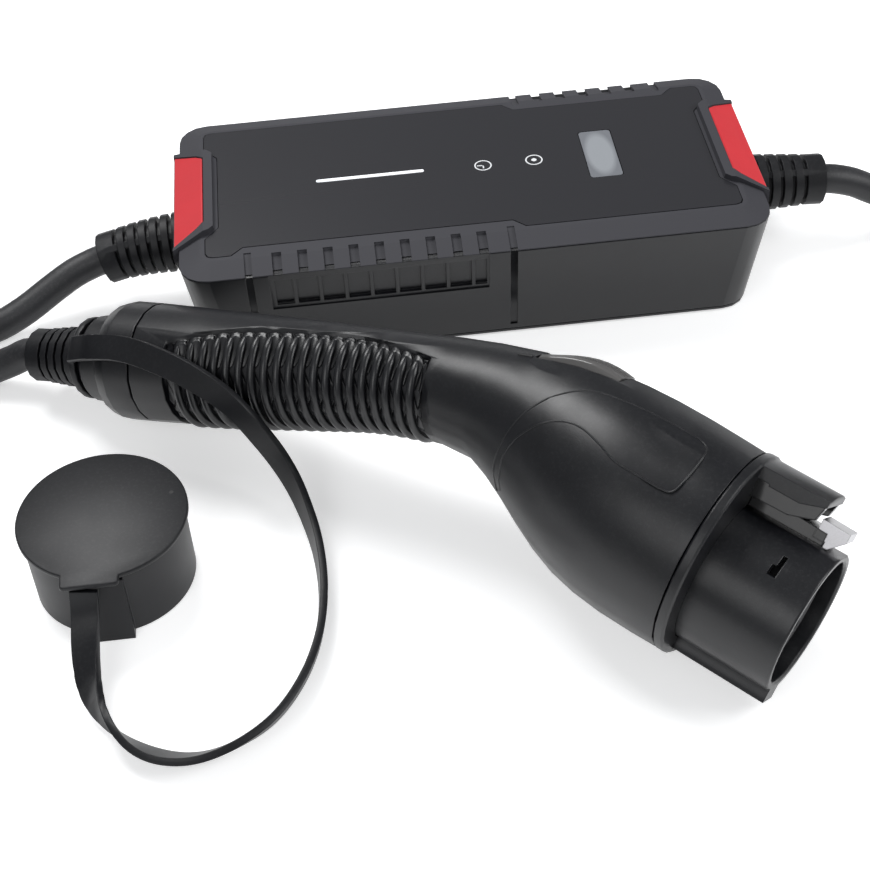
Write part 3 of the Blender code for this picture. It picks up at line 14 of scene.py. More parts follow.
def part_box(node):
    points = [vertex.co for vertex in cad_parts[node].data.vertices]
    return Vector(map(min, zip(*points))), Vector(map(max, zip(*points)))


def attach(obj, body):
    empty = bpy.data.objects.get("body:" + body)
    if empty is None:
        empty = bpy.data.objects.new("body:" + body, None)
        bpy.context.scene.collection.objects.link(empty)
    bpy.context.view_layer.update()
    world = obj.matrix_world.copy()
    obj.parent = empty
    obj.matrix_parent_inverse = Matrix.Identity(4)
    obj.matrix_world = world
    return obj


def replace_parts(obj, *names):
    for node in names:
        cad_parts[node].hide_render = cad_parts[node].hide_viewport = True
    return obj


bl_info = {
    "name": "Portable charger dressing",
    "version": (1, 0, 0),
    "blender": (4, 5, 0),
    "location": "3D View > Sidebar > Charger",
    "description": "Cables, finishes, printed marks and studio for a portable electric car charger",
    "category": "Object",
}

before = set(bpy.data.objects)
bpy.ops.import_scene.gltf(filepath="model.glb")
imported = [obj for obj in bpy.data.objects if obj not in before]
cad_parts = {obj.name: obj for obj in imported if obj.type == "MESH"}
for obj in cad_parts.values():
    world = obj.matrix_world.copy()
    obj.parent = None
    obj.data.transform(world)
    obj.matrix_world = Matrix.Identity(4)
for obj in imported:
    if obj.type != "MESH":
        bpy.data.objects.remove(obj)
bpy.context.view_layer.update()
MM = 0.001

CHARGER = "charger"
LATCH = "latch"

# Places and sizes below are in millimetres and angles in degrees, unless they say otherwise.

# The connector's own frame in the part: its origin, forward, towards the button, and out of the badge side.
CONNECTOR_ORIGIN = Vector((49.3, -182.9, 32.15))
CONNECTOR_FORWARD = Vector((0.72377, -0.67919, -0.12187))
CONNECTOR_UP = Vector((0.49745, 0.39117, 0.77429))
CONNECTOR_BADGE = Vector((-0.47822, -0.62103, 0.62099))

# Free stretches of the two leads, as the CAD solids have them.
BOX_LEAD_ROUTE = (
    (-131.6, 0.5, 18.7), (-135.6, 0.4, 17.5), (-143.0, -2.0, 15.6), (-151.0, -6.2, 12.8),
    (-161.0, -12.2, 9.2), (-170.5, -16.6, 6.7), (-177.5, -17.8, 5.8), (-184.4, -17.4, 5.6),
)
GUN_LEAD_ROUTE = (
    (-163.0, -41.6, 10.8), (-170.0, -41.1, 7.9), (-176.5, -42.0, 6.0), (-183.4, -44.4, 5.6),
)
MAINS_ROUTE = (
    (131.5, 0.5, 21.9), (136.5, 0.5, 21.2), (144.0, 0.5, 18.8), (153.0, 0.5, 13.9),
    (164.0, 1.0, 9.1), (176.0, 1.6, 6.4), (188.0, 2.0, 5.6), (199.1, 2.0, 5.6),
)
MAINS_COIL_ENTRY = (217, 2)
# How far a lead starts inside its boot, and its gap to the floor.
LEAD_INSIDE = 2.5
LEAD_GAP = 0.05
# The connector's boot in the connector's frame: where it starts, how it leans, and the lead's reaches in it.
GUN_BOOT_ORIGIN = (-206.3, -45.5)
GUN_BOOT_LEAN = 24.5
GUN_BOOT_REACHES = (40.4, 35.0, 32.4)
PLUG_BOOT_MOUTH = (296.0, -121.0, 12.0)

LEAD_COIL_CENTRE = (-266.0, -32.0)
LEAD_COLUMNS = (75.8, 65.0, 54.2)
# Column and layer of each turn of the lead's coil, from the box's end to the connector's.
LEAD_TURNS = (
    (2, 0), (2, 1), (2, 2), (2, 3), (1, 3), (0, 3), (0, 2), (1, 2), (1, 1), (0, 1), (0, 0), (1, 0),
)
# A turn moves to the next place within this angle to both sides of the box's side, and lies higher between.
LEAD_SHIFT = 60
LEAD_HUMP = 85
# The angle over which the lead goes into its first turn, out of its last one, and up to a hump.
LEAD_RAMP = 60
MAINS_COIL_CENTRE = (236.0, -58.0)
MAINS_COIL_RADIUS = 60.0
MAINS_TURNS = 2.25
# The angles at which a new turn of the mains lead starts to climb over the last one, and how long it takes.
MAINS_CLIMBS = (180, 540)
MAINS_CLIMB_SPAN = 150
# Where the second turn draws in beside the others, over what angle to both sides and how far.
MAINS_DODGE = (475, 60, 4.0)
# The two bands round the lead's coil.
TIE_ANGLES = (125.0, 235.0)
TIE_HALF_WIDTH = 9.0
TIE_THICKNESS = 1.2
TIE_SIDES = 40
TIE_SQUARENESS = 0.45

CAP_CENTRE = (-126.4, -136.5)
CAP_RADIUS = 24.7
CAP_EDGE = 0.4
CAP_BORE = 22.2
CAP_ROOF = 2.5
CAP_SIDES = 96
# The wedge under the strap, from the cap's axis: its left side at foot and head, its right side and its
# root, and how far its head stands back from its foot.
WEDGE_LEFT = (-5.6, -0.2)
WEDGE_RIGHT = 6.4
WEDGE_ROOT = -23
WEDGE_SLOPE = 2.0
LID_RADIUS = 26.0
LID_TAB = (-11.5, 5.8)
LID_TAB_CORNER = 1.2
LID_TAB_MARGIN = 0.3
# The lid's edge: heights from its underside or its top, and how far the outline is drawn in there.
LID_FOOT = ((0, 0.9), (0.8, 0.9), (0.9, 0.1), (1.1, 0.0))
LID_RIM = ((-0.5, 0.0), (-0.15, 0.15), (0, 0.5))
LID_DOT = (-105.5, -130.5)
LID_DOT_RADIUS = 0.7
LID_DOT_RISE = 0.02

# The line round the badge area, on the badge side of the handle in the connector's frame.
BADGE_LINE = (
    (-60.1, -12.8, 16.0), (-61.3, -6.6, 20.2), (-61.5, -0.8, 22.4), (-59.1, 6.1, 23.8), (-55.1, 11.8, 24.2),
    (-50.3, 15.3, 23.8), (-44.0, 16.8, 24.4), (-35.9, 15.6, 26.4), (-29.5, 13.9, 28.0), (-21.3, 13.8, 28.3),
    (-15.0, 13.8, 28.4), (-11.6, 14.6, 28.0), (-10.4, 18.0, 26.0), (-10.3, 24.0, 20.7), (-11.1, 27.0, 16.8),
    (-14.0, 28.2, 14.6), (-21.2, 28.5, 14.6), (-30.9, 28.3, 14.7), (-40.0, 27.5, 15.2), (-46.3, 26.4, 15.6),
    (-51.8, 24.0, 17.0), (-56.6, 19.8, 19.6), (-60.6, 13.8, 21.7), (-63.2, 6.1, 22.6), (-64.1, -1.6, 21.3),
    (-63.9, -8.2, 18.1), (-61.9, -13.9, 13.8), (-60.1, -12.8, 16.0),
)
TOP_SLIT = ((-76.6, 23.8, 8.0), (-72.4, 25.4, 8.0))
TOP_SLIT_RADIUS = 0.6
# The share of its radius by which a line on the handle lies in the surface.
LINE_SUNK = 0.3
# The guard's side wall in front of the collar, in the same frame, and the widths between which it stands.
GUARD_SIDE = ((3.0, 20.6), (15.0, 20.9), (22.4, 23.4), (23.4, 27.6), (3.0, 27.6))
GUARD_SIDE_SPAN = (6.2, 9.0)
# The handle's sections under the grip, as in the CAD: x, y, tilt, half height and half width.
GRIP_STATIONS = (
    (-201.5, -43.4, 24.5, 19.7, 18.9), (-192.2, -39.4, 24.5, 19.6, 18.8), (-165.3, -27.9, 24.5, 18.7, 18.0),
    (-138.0, -15.7, 24.5, 17.2, 16.8), (-112.1, -4.7, 22.0, 15.9, 16.2), (-87.4, 3.7, 17.0, 17.0, 17.4),
    (-76.0, 4.8, 12.0, 19.4, 19.2),
)
# The ribs run between these stations, less a share at both ends. They start at these angles from the top,
# which follow the pad's edge, and this gap.
GRIP_SPAN = (1.5, 4.62)
GRIP_MARGIN = 0.022
GRIP_EDGE_ANGLES = (66.0, 48.0, 40.0, 35.0, 38.0, 54.0)
GRIP_EDGE_GAP = 3.0
GRIP_RIBS = 20
RIB_STEPS = 44
# The share of a rib's radius at its end, and what each point further in adds.
RIB_TAPER = (0.55, 0.25)
# How far the pad's own low ribs sink under the round ones.
GRIP_SINK = 0.85
# The latch's pin in the connector's frame, the reach round it in which the handle is smoothed, how far from
# the connector's axis that starts, and how often it is done.
PIN_PLACE = (-20.0, 20.5)
BOSS_REACH = 4.9
BOSS_FOOT = 30.4
BOSS_PASSES = 60

PANEL_TOP = 43.0
# The marks' lower and upper faces from the panel's top, and their places in metres.
MARK_FACES = (-0.02, 0.05)
CLOCK_MARK = (0.0070, 0.0)
DOT_MARK = (0.0253, 0.0003)
# Shares of a mark's radius: the clock's two hands and the dot.
CLOCK_HANDS = (0.62, 0.5)
DOT_SHARE = 0.3

# Each moulded finish: colour and roughness, or the name of that value in ChargerFinish, the roughness's
# spread, the grain's scale and depth, the drift in brightness, dust, specular level and coat, and whether
# the shading rounds its edges.
Look = namedtuple("Look", "colour roughness spread grain depth drift dust specular coat edge",
                  defaults=(0.18, 0.02, 0.5, 0, True))
MOULDED = {
    "housing_plastic": Look("housing", "housing_roughness", 0.12, 3000, 0.22, specular=0.46),
    "cover_plastic": Look("cover", 0.27, 0.06, 3400, 0.06, dust=0.015),
    "panel_plastic": Look("panel", 0.30, 0.10, 2200, 0.05, drift=0.1, dust=0.012, coat=0.25),
    "trim_plastic": Look("trim", 0.42, 0.1, 3000, 0.12, drift=0.04, dust=0.015),
    "lever_plastic": Look((0.0045, 0.0045, 0.0055), 0.16, 0.04, 3200, 0.04, dust=0, specular=0.4),
    # The thumb button's grey base colour is partly its own tone and partly a painted reflection of the white
    # surround at a grazing angle.
    "button_grey_and_painted_reflection": Look((0.105, 0.102, 0.100), 0.24, 0.06, 3000, 0.05, drift=0.05, dust=0.01),
    "boot_rubber": Look("rubber", 0.50, 0.10, 2600, 0.2, specular=0.34),
    "cap_rubber": Look("rubber", 0.44, 0.08, 3200, 0.08, specular=0.34),
    "grip_rubber": Look("rubber", 0.32, 0.08, 2600, 0.12, specular=0.55),
    "cable_jacket": Look("jacket", 0.50, 0.14, 1300, 0.35, drift=0.2, dust=0.06, edge=False),
    "strap_fabric": Look((0.010, 0.010, 0.011), 0.85, 0.1, 1100, 0.9, 0.25, 0.08, 0.25, edge=False),
    "contact_insulator": Look((0.02, 0.02, 0.022), 0.5, 0.1, 2400, 0.2),
    "board_lacquer": Look((0.012, 0.10, 0.045), 0.4, 0.1, 1200, 0.2),
    "relay_casing": Look((0.03, 0.10, 0.35), 0.4, 0.1, 2000, 0.1),
    "printed_ink": Look("ink", 0.55, 0.1, 5000, 0.1, drift=0.03, dust=0, edge=False),
    "groove_shadow": Look((0.004, 0.004, 0.005), 0.6, 0.05, 2000, 0.1, dust=0, edge=False),
}
# Relief in metres: the moulded grain's height, and drawn metal's strength (a share), height and edge radius.
GRAIN_HEIGHT = 0.00012
METAL_LINES = (0.15, 0.00005, 0.0003)
DUST_COLOUR = (0.6, 0.6, 0.62, 1)

# The CAD nodes with each moulded finish. The others are the window, the light bar, brass, steel or cable.
NODES_IN = {
    "housing_plastic": "lower_housing base_cover handle_shell_left handle_shell_right handle_end_cap "
                       "collar_ring connector_sleeve cable_nut plug_body",
    "cover_plastic": "top_cover",
    "panel_plastic": "front_panel",
    "trim_plastic": "end_trim_left end_trim_right plug_fuse_carrier",
    "lever_plastic": "latch_lever",
    "button_grey_and_painted_reflection": "thumb_button",
    "boot_rubber": "housing_seal lead_strain_relief mains_strain_relief connector_strain_relief "
                   "plug_strain_relief",
    "cap_rubber": "cap_body cap_lid cap_strap",
    "grip_rubber": "grip_pad",
    "contact_insulator": "contact_block latch_switch power_module current_sensor",
    "board_lacquer": "circuit_board terminal_block display_module",
    "relay_casing": "relay_1 relay_2",
}
FINISH_OF = {node: finish for finish, nodes in NODES_IN.items() for node in nodes.split()}
# Edges above this angle stay sharp in a node's skin.
SHARP_FROM = {
    "lower_housing": 30, "base_cover": 30, "top_cover": 26, "front_panel": 30, "handle_shell_left": 36,
    "handle_shell_right": 36, "handle_end_cap": 36, "grip_pad": 40, "cap_strap": 40, "thumb_button": 44,
}
USUAL_SHARP = 34
STRAP_CREASE = 0.85
# Faces within this angle of each other are joined, on lofted nodes and on the others.
LOFTED_FLAT = 0.15
PLAIN_FLAT = 0.7

# Each lamp's place and what it points at, in metres, its size, and its share of the key light's power.
LAMPS = {
    "key_lamp": ((-0.35, 0.55, 1.15), (0.0, -0.05, 0.0), 0.6, 1.0),
    "side_lamp": ((0.95, -0.35, 0.75), (0.05, -0.1, 0.0), 0.6, 0.55),
    "front_lamp": ((-0.55, -0.95, 0.9), (0.0, -0.1, 0.0), 0.7, 0.35),
}
FLOOR_GLOW = 0.50


def colour_value(name, description, default):
    return FloatVectorProperty(name=name, description=description, subtype="COLOR", size=3, min=0, max=1,
                               default=default)


def length_value(name, description, low, high, default):
    return FloatProperty(name=name, description=description, subtype="DISTANCE", unit="LENGTH", min=low,
                         max=high, default=default)


def angle_value(name, description, degrees):
    return FloatProperty(name=name, description=description, subtype="ANGLE", unit="ROTATION",
                         default=math.radians(degrees))


class ChargerFinish(PropertyGroup):
    """Colours and roughness of the charger's finishes."""

    housing: colour_value(
        "Housing", "Grained black plastic of the housing and the connector", (0.0050, 0.0054, 0.0072))
    cover: colour_value(
        "Top cover", "Smooth dark plastic of the control box's top cover", (0.040, 0.040, 0.052))
    panel: colour_value("Front panel", "Half-gloss front panel", (0.044, 0.051, 0.059))
    trim: colour_value("End trims", "Coloured trims over the box's ends", (0.62, 0.022, 0.032))
    rubber: colour_value("Rubber", "Strain reliefs, grip and dust cap", (0.0058, 0.0062, 0.0080))
    jacket: colour_value("Cable jacket", "Outer jacket of both leads", (0.0190, 0.0195, 0.0220))
    ink: colour_value("Ink", "Colour of the printed marks", (0.80, 0.82, 0.84))
    housing_roughness: FloatProperty(
        name="Housing roughness", description="Mean roughness of the grained plastic",
        subtype="FACTOR", min=0, max=1, default=0.36)
    edge_radius: length_value(
        "Edge radius", "Rounding of moulded edges in the shading", 0, 0.002, 0.0005)


class ChargerCables(PropertyGroup):
    """Sizes of the two leads."""

    diameter: length_value("Cable diameter", "Outer diameter of both leads", 0.004, 0.02, 0.0108)
    bend: length_value(
        "Bend radius", "Radius of the bend with which a lead joins its coil", 0.04, 0.1, 0.0435)
    points_per_turn: IntProperty(
        name="Points per turn", description="Points of the cable's line in each turn of a coil",
        min=12, max=60, default=24)


class ChargerPrint(PropertyGroup):
    """Marks on the front panel, and the lines and ribs of the connector."""

    mark_radius: length_value(
        "Mark radius", "Outer radius of the round marks on the panel", 0.001, 0.006, 0.0031)
    line_width: length_value("Line width", "Width of the printed lines", 0.0001, 0.001, 0.00048)
    rib_radius: length_value("Rib radius", "Radius of the grip's raised ribs", 0.0005, 0.003, 0.00138)
    rib_rise: length_value(
        "Rib rise", "How far the grip's ribs stand above the handle's skin", 0.0002, 0.003, 0.00085)
    seam: length_value(
        "Seam radius", "Radius of the raised line round the badge area", 0.0001, 0.001, 0.00034)


class ChargerStudio(PropertyGroup):
    """Camera and light of the picture."""

    pitch: angle_value("Pitch", "How far the camera looks down", 43.75)
    yaw: angle_value("Yaw", "How far the camera is turned towards +X", 3.57)
    roll: angle_value("Roll", "Roll of the camera about its view", -3.68)
    place: FloatVectorProperty(
        name="Place", description="Where the camera stands", subtype="TRANSLATION", unit="LENGTH", size=3,
        default=(-0.0473, -0.4982, 0.39145))
    lens: FloatProperty(
        name="Lens", description="Focal length in millimetres on a 36 mm sensor", min=20, max=200,
        default=70.18)
    fill: FloatProperty(
        name="Fill light", description="Strength of the even light all round", min=0, max=3, default=0.27)
    key: FloatProperty(
        name="Key light", description="Power of the large lamp above, in watts", min=0, max=100,
        default=12.0)


def to_part(x, y, z):
    """A point of the connector's frame in the part's frame."""
    return CONNECTOR_ORIGIN + x * CONNECTOR_FORWARD + y * CONNECTOR_UP + z * CONNECTOR_BADGE


def orbit(centre, radius, degrees, height):
    turn = math.radians(degrees)
    return Vector((centre[0] + radius * math.cos(turn), centre[1] + radius * math.sin(turn), height))


def polar(point, centre):
    """The angle and the distance at which a point stands from a centre."""
    arm = Vector((point.x - centre[0], point.y - centre[1]))
    return math.degrees(math.atan2(arm.y, arm.x)), arm.length


def eased(value):
    value = min(1.0, max(0.0, value))
    return value * value * (3 - 2 * value)


def between(a, b, c, d, t):
    """The smooth curve between b and c."""
    bend, twist = 2 * a - 5 * b + 4 * c - d, 3 * b - a - 3 * c + d
    return 0.5 * (2 * b + (c - a) * t + bend * t * t + twist * t ** 3)


def smooth_curve(points, steps):
    """Points of a smooth curve through the given ones, steps to each span."""
    ends = [2 * points[0] - points[1], *points, 2 * points[-1] - points[-2]]
    made = []
    for a, b, c, d in zip(ends, ends[1:], ends[2:], ends[3:]):
        for step in range(steps):
            made.append(between(a, b, c, d, step / steps))
    return [*made, points[-1]]


# Node groups and finishes


class Tree:
    """A node tree, with short ways to add nodes to it."""

    def __init__(self, tree):
        self.nodes = tree.nodes
        self.links = tree.links

    def feed(self, node, inputs):
        """Gives a node's inputs a value or another node's output each."""
        for key, value in inputs.items():
            if isinstance(value, bpy.types.NodeSocket):
                self.links.new(value, node.inputs[key])
            else:
                node.inputs[key].default_value = value

    def add(self, kind, inputs=None, **settings):
        node = self.nodes.new("ShaderNode" + kind)
        for setting, value in settings.items():
            setattr(node, setting, value)
        self.feed(node, inputs or {})
        return node

    def place(self):
        return self.add("TexCoord").outputs["Object"]

    def calculate(self, operation, *values):
        return self.add("Math", dict(enumerate(values)), operation=operation).outputs[0]

    def remap(self, value, **ends):
        """A value mapped from one span to another; the ends are 0 and 1 where none is given."""
        inputs = {key.replace("_", " ").title(): end for key, end in ends.items()}
        return self.add("MapRange", {"Value": value, **inputs}).outputs[0]

    def noise(self, place, scale, detail, roughness=0.5):
        return self.add("TexNoise", {"Vector": place, "Scale": scale, "Detail": detail,
                                     "Roughness": roughness}).outputs["Fac"]

    def shaded(self, colour, brightness):
        """A colour times a brightness."""
        return self.add("VectorMath", {0: colour, "Scale": brightness}, operation="SCALE").outputs[0]

    def ramp(self, factor, *stops):
        """A colour ramp through pairs of a position and a colour."""
        node = self.add("ValToRGB", {"Fac": factor})
        elements = node.color_ramp.elements
        for i, (position, colour) in enumerate(stops):
            # A new ramp has two stops.
            stop = elements[i] if i < 2 else elements.new(position)
            stop.position = position
            stop.color = (*colour, 1)
        return node.outputs["Color"]

    def group(self, maker, inputs):
        """What comes out of a node of this maker's group, which has the maker's name."""
        name = maker.__name__
        if name not in bpy.data.node_groups:
            maker()
        return self.add("Group", inputs, node_tree=bpy.data.node_groups[name]).outputs

    def bumped(self, height, strength, distance, edge):
        """A normal from a height, over edges that the shading rounds."""
        bump = self.add("Bump", {"Strength": strength, "Distance": distance, "Height": height})
        if edge:
            rounding = self.add("Bevel", {"Radius": edge}, samples=6)
            self.feed(bump, {"Normal": rounding.outputs["Normal"]})
        return bump.outputs["Normal"]


def new_group(name, inputs, outputs):
    """A node group with these sockets: its tree, what comes in, and the node that takes the results."""
    group = bpy.data.node_groups.new(name, "ShaderNodeTree")
    for way, labels in (("INPUT", inputs), ("OUTPUT", outputs)):
        for label in labels:
            kind = "NodeSocketColor" if label == "Colour" else "NodeSocketFloat"
            group.interface.new_socket(label, in_out=way, socket_type=kind)
    return Tree(group), group.nodes.new("NodeGroupInput").outputs, group.nodes.new("NodeGroupOutput")


def moulded_skin():
    """Moulded plastic or rubber: fine grain in the height, and a slow drift in colour and roughness."""
    tree, source, sink = new_group(
        "moulded_skin", ("Colour", "Grain Scale", "Drift", "Roughness", "Roughness Spread"),
        ("Colour", "Roughness", "Height"))
    place = tree.place()
    drift = source["Drift"]
    brightness = tree.remap(
        tree.noise(place, 42.0, 4.0, 0.6), from_min=0.3, from_max=0.7,
        to_min=tree.calculate("SUBTRACT", 1.0, drift), to_max=tree.calculate("ADD", 1.0, drift))
    patches = tree.calculate("SUBTRACT", tree.noise(place, 120.0, 5.0, 0.65), 0.5)
    tree.feed(sink, {
        "Colour": tree.shaded(source["Colour"], brightness),
        "Roughness": tree.calculate("MULTIPLY_ADD", patches, source["Roughness Spread"], source["Roughness"]),
        "Height": tree.noise(place, source["Grain Scale"], 3.0)})


def settled_dust():
    """A trace of pale dust where a surface faces up, broken up by noise."""
    tree, source, sink = new_group("settled_dust", ("Colour", "Amount"), ("Colour",))
    facing = tree.add("SeparateXYZ", {0: tree.add("NewGeometry").outputs["Normal"]}).outputs["Z"]
    specks = tree.remap(tree.noise(tree.place(), 900.0, 6.0, 0.7), from_min=0.5, from_max=0.72)
    both = tree.calculate("MULTIPLY", tree.remap(facing, from_min=0.2), specks)
    share = tree.calculate("MULTIPLY", both, source["Amount"])
    mix = tree.add("Mix", {"Factor": share, "A": source["Colour"], "B": DUST_COLOUR}, data_type="RGBA")
    tree.feed(sink, {"Colour": mix.outputs["Result"]})


def drawn_metal():
    """Metal drawn or turned along one direction: fine lines in height, roughness and colour."""
    tree, source, sink = new_group(
        "drawn_metal", ("Colour", "Roughness"), ("Colour", "Roughness", "Height"))
    place = tree.add("Mapping", {"Vector": tree.place(), "Scale": (0.06, 1.0, 1.0),
                                 "Rotation": (0, 0, math.radians(43))})
    lines = tree.noise(place.outputs[0], 5200.0, 4.0)
    tree.feed(sink, {
        "Colour": tree.shaded(source["Colour"], tree.remap(lines, to_min=0.8, to_max=1.12)),
        "Roughness": tree.calculate("MULTIPLY_ADD", lines, 0.14, source["Roughness"]),
        "Height": lines})


def blank_finish(name):
    """A new finish, its node tree and its shader."""
    finish = bpy.data.materials.new(name)
    finish.use_nodes = True
    return finish, Tree(finish.node_tree), finish.node_tree.nodes["Principled BSDF"]


def moulded(name):
    """The moulded plastic or rubber finish of this name, made when it is first asked for."""
    if name in bpy.data.materials:
        return bpy.data.materials[name]
    finish, tree, shader = blank_finish(name)
    values = bpy.context.scene.charger_finish
    look = MOULDED[name]
    colour, roughness = (getattr(values, item) if isinstance(item, str) else item for item in look[:2])
    skin = tree.group(moulded_skin, {
        "Colour": (*colour, 1), "Grain Scale": look.grain, "Drift": look.drift, "Roughness": roughness,
        "Roughness Spread": look.spread})
    settled = tree.group(settled_dust, {"Amount": look.dust, "Colour": skin["Colour"]})
    normal = tree.bumped(skin["Height"], look.depth, GRAIN_HEIGHT, look.edge and values.edge_radius)
    tree.feed(shader, {
        "Base Color": settled["Colour"], "Roughness": skin["Roughness"], "Specular IOR Level": look.specular,
        "Coat Weight": look.coat, "Coat Roughness": 0.12, "Normal": normal})
    return finish


def metal(name, colour, roughness):
    finish, tree, shader = blank_finish(name)
    drawn = tree.group(drawn_metal, {"Colour": (*colour, 1), "Roughness": roughness})
    tree.feed(shader, {
        "Base Color": drawn["Colour"], "Roughness": drawn["Roughness"], "Metallic": 1.0,
        "Normal": tree.bumped(drawn["Height"], *METAL_LINES)})
    return finish


def display_glass():
    """The display's window: a pale liquid crystal behind clear plastic, a little darker towards its rim."""
    finish, tree, shader = blank_finish("display_glass")
    low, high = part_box("display_window")
    middle, size = (low + high) / 2, high - low
    place = tree.add("Mapping", {
        "Vector": tree.place(), "Location": (-middle.x * 2 / size.x, -middle.y * 2 / size.y, 0),
        "Scale": (2 / size.x, 2 / size.y, 0)})
    reach = tree.add("VectorMath", {0: place.outputs[0]}, operation="LENGTH").outputs["Value"]
    pale = tree.ramp(reach, (0.72, (0.300, 0.318, 0.342)), (1.0, (0.175, 0.185, 0.205)))
    tree.feed(shader, {"Base Color": pale, "Roughness": 0.35, "Coat Weight": 0.6, "Coat Roughness": 0.06})
    return finish


def light_diffuser():
    """Milky plastic with the lamps behind it alight, dimmer at its ends."""
    finish, tree, shader = blank_finish("light_diffuser")
    low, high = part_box("light_bar")
    across = tree.add("SeparateXYZ", {0: tree.place()}).outputs["X"]
    glow = tree.ramp(
        tree.remap(across, from_min=low.x, from_max=high.x), (0.0, (0.35, 0.38, 0.42)),
        (0.12, (0.75, 0.78, 0.82)), (0.85, (0.78, 0.78, 0.8034)), (1.0, (0.38, 0.38, 0.3914)))
    tree.feed(shader, {"Base Color": (0.9, 0.92, 0.95, 1), "Roughness": 0.35, "Emission Color": glow,
                       "Emission Strength": 0.55})
    return finish


# Shapes


def link(name, data, finish, body=CHARGER):
    """A piece from a mesh or a curve, in the finish of this name, which rides on a body."""
    obj = bpy.data.objects.new(name, data)
    bpy.context.scene.collection.objects.link(obj)
    data.materials.append(moulded(finish))
    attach(obj, body)
    return obj


def finish_mesh(name, bm, crease):
    """A mesh from a bmesh, shaded smooth with its sharp edges kept."""
    mesh = bpy.data.meshes.new(name)
    bm.to_mesh(mesh)
    bm.free()
    mesh.shade_smooth()
    mesh.set_sharp_from_angle(angle=math.radians(crease))
    return mesh


def own_piece(name, bm, finish, crease=35.0):
    """A piece that is built here, with its faces turned outwards."""
    bmesh.ops.recalc_face_normals(bm, faces=bm.faces)
    return link(name, finish_mesh(name, bm, crease), finish)


def level_pin_boss(bm):
    """Smooths the shell's outer face where the end of the pin's boss stands out of it."""
    proud = []
    for vert in bm.verts:
        place = vert.co / MM - CONNECTOR_ORIGIN
        x, y, z = (place.dot(axis) for axis in (CONNECTOR_FORWARD, CONNECTOR_UP, CONNECTOR_BADGE))
        if math.hypot(x - PIN_PLACE[0], y - PIN_PLACE[1]) < BOSS_REACH and math.hypot(y, z) > BOSS_FOOT:
            proud.append(vert)
    for _ in range(BOSS_PASSES):
        bmesh.ops.smooth_vert(bm, verts=proud, factor=0.5, use_axis_x=True, use_axis_y=True, use_axis_z=True)


def sink_pad(bm):
    """Draws the grip pad in under its round ribs."""
    bm.normal_update()
    for vert in bm.verts:
        vert.co -= vert.normal * GRIP_SINK * MM


def crease_strap(bm):
    """Joins the strap's triangles and marks its edges, which the subdivision then keeps."""
    bmesh.ops.join_triangles(bm, faces=bm.faces, angle_face_threshold=math.radians(20),
                             angle_shape_threshold=math.radians(35))
    crease = bm.edges.layers.float.new("crease_edge")
    for edge in bm.edges:
        if len(edge.link_faces) == 2 and edge.calc_face_angle() > math.radians(SHARP_FROM["cap_strap"]):
            edge[crease] = STRAP_CREASE


def skin_of(node, body=CHARGER):
    """A welded, smoothly shaded copy of a CAD node, which stands for it."""
    bm = bmesh.new()
    bm.from_mesh(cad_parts[node].data)
    bmesh.ops.remove_doubles(bm, verts=bm.verts, dist=2e-6)
    if node.startswith("handle_shell"):
        level_pin_boss(bm)
    if node == "grip_pad":
        sink_pad(bm)
    flat = LOFTED_FLAT if node.startswith("handle") or node == "grip_pad" else PLAIN_FLAT
    bmesh.ops.dissolve_limit(bm, angle_limit=math.radians(flat), verts=bm.verts, edges=bm.edges)
    if node == "cap_strap":
        crease_strap(bm)
    mesh = finish_mesh(node + "_skin", bm, SHARP_FROM.get(node, USUAL_SHARP))
    obj = link(node + "_skin", mesh, FINISH_OF[node], body)
    if node == "cap_strap":
        smooth = obj.modifiers.new("smooth_strap", "SUBSURF")
        smooth.levels = smooth.render_levels = 2
    even = obj.modifiers.new("even_normals", "WEIGHTED_NORMAL")
    even.keep_sharp = True
    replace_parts(obj, node)


def skinned(bm, rings, hollow=False):
    """Skins rings of as many points each, and closes both ends or joins the last ring to the first."""
    rows = [[bm.verts.new(Vector(point) * MM) for point in ring] for ring in rings]
    for near, far in zip(rows, rows[1:] + rows[:1] if hollow else rows[1:]):
        for i in range(len(near)):
            j = (i + 1) % len(near)
            bm.faces.new((near[i], near[j], far[j], far[i]))
    if not hollow:
        bm.faces.new(rows[0][::-1])
        bm.faces.new(rows[-1])


def turned(bm, profile):
    """Turns pairs of a height and a radius about the cap's axis."""
    x, y = CAP_CENTRE
    line = [bm.verts.new(Vector((x + radius, y, height)) * MM) for height, radius in profile]
    edges = [bm.edges.new(pair) for pair in zip(line, line[1:])]
    bmesh.ops.spin(bm, geom=line + edges, cent=Vector((x, y, 0)) * MM, axis=(0, 0, 1), angle=2 * math.pi,
                   steps=CAP_SIDES, use_merge=True)


def lid_outline(inset, tab_end):
    """The lid's round outline with its square tab towards the near side, drawn in by inset."""
    x, y = CAP_CENTRE
    radius = LID_RADIUS - inset
    left, right = x + LID_TAB[0], x + LID_TAB[1]
    points = []
    for i in range(CAP_SIDES + 1):
        turn = math.radians(-90 + 360 * i / CAP_SIDES)
        across, along = LID_RADIUS * math.cos(turn), LID_RADIUS * math.sin(turn)
        if along > 0 or not left - LID_TAB_MARGIN < x + across < right + LID_TAB_MARGIN:
            points.append((x + across * radius / LID_RADIUS, y + along * radius / LID_RADIUS))
    left, right = left + inset, right - inset
    low = tab_end + inset + LID_TAB_CORNER
    corners = []
    for centre, start in ((left + LID_TAB_CORNER, 180), (right - LID_TAB_CORNER, 270)):
        for i in range(5):
            turn = math.radians(start + 90 * i / 4)
            corners.append((centre + LID_TAB_CORNER * math.cos(turn), low + LID_TAB_CORNER * math.sin(turn)))
    roots = [(side, y - math.sqrt(radius ** 2 - (side - x) ** 2)) for side in (left, right)]
    return [*points, roots[0], *corners, roots[1]]


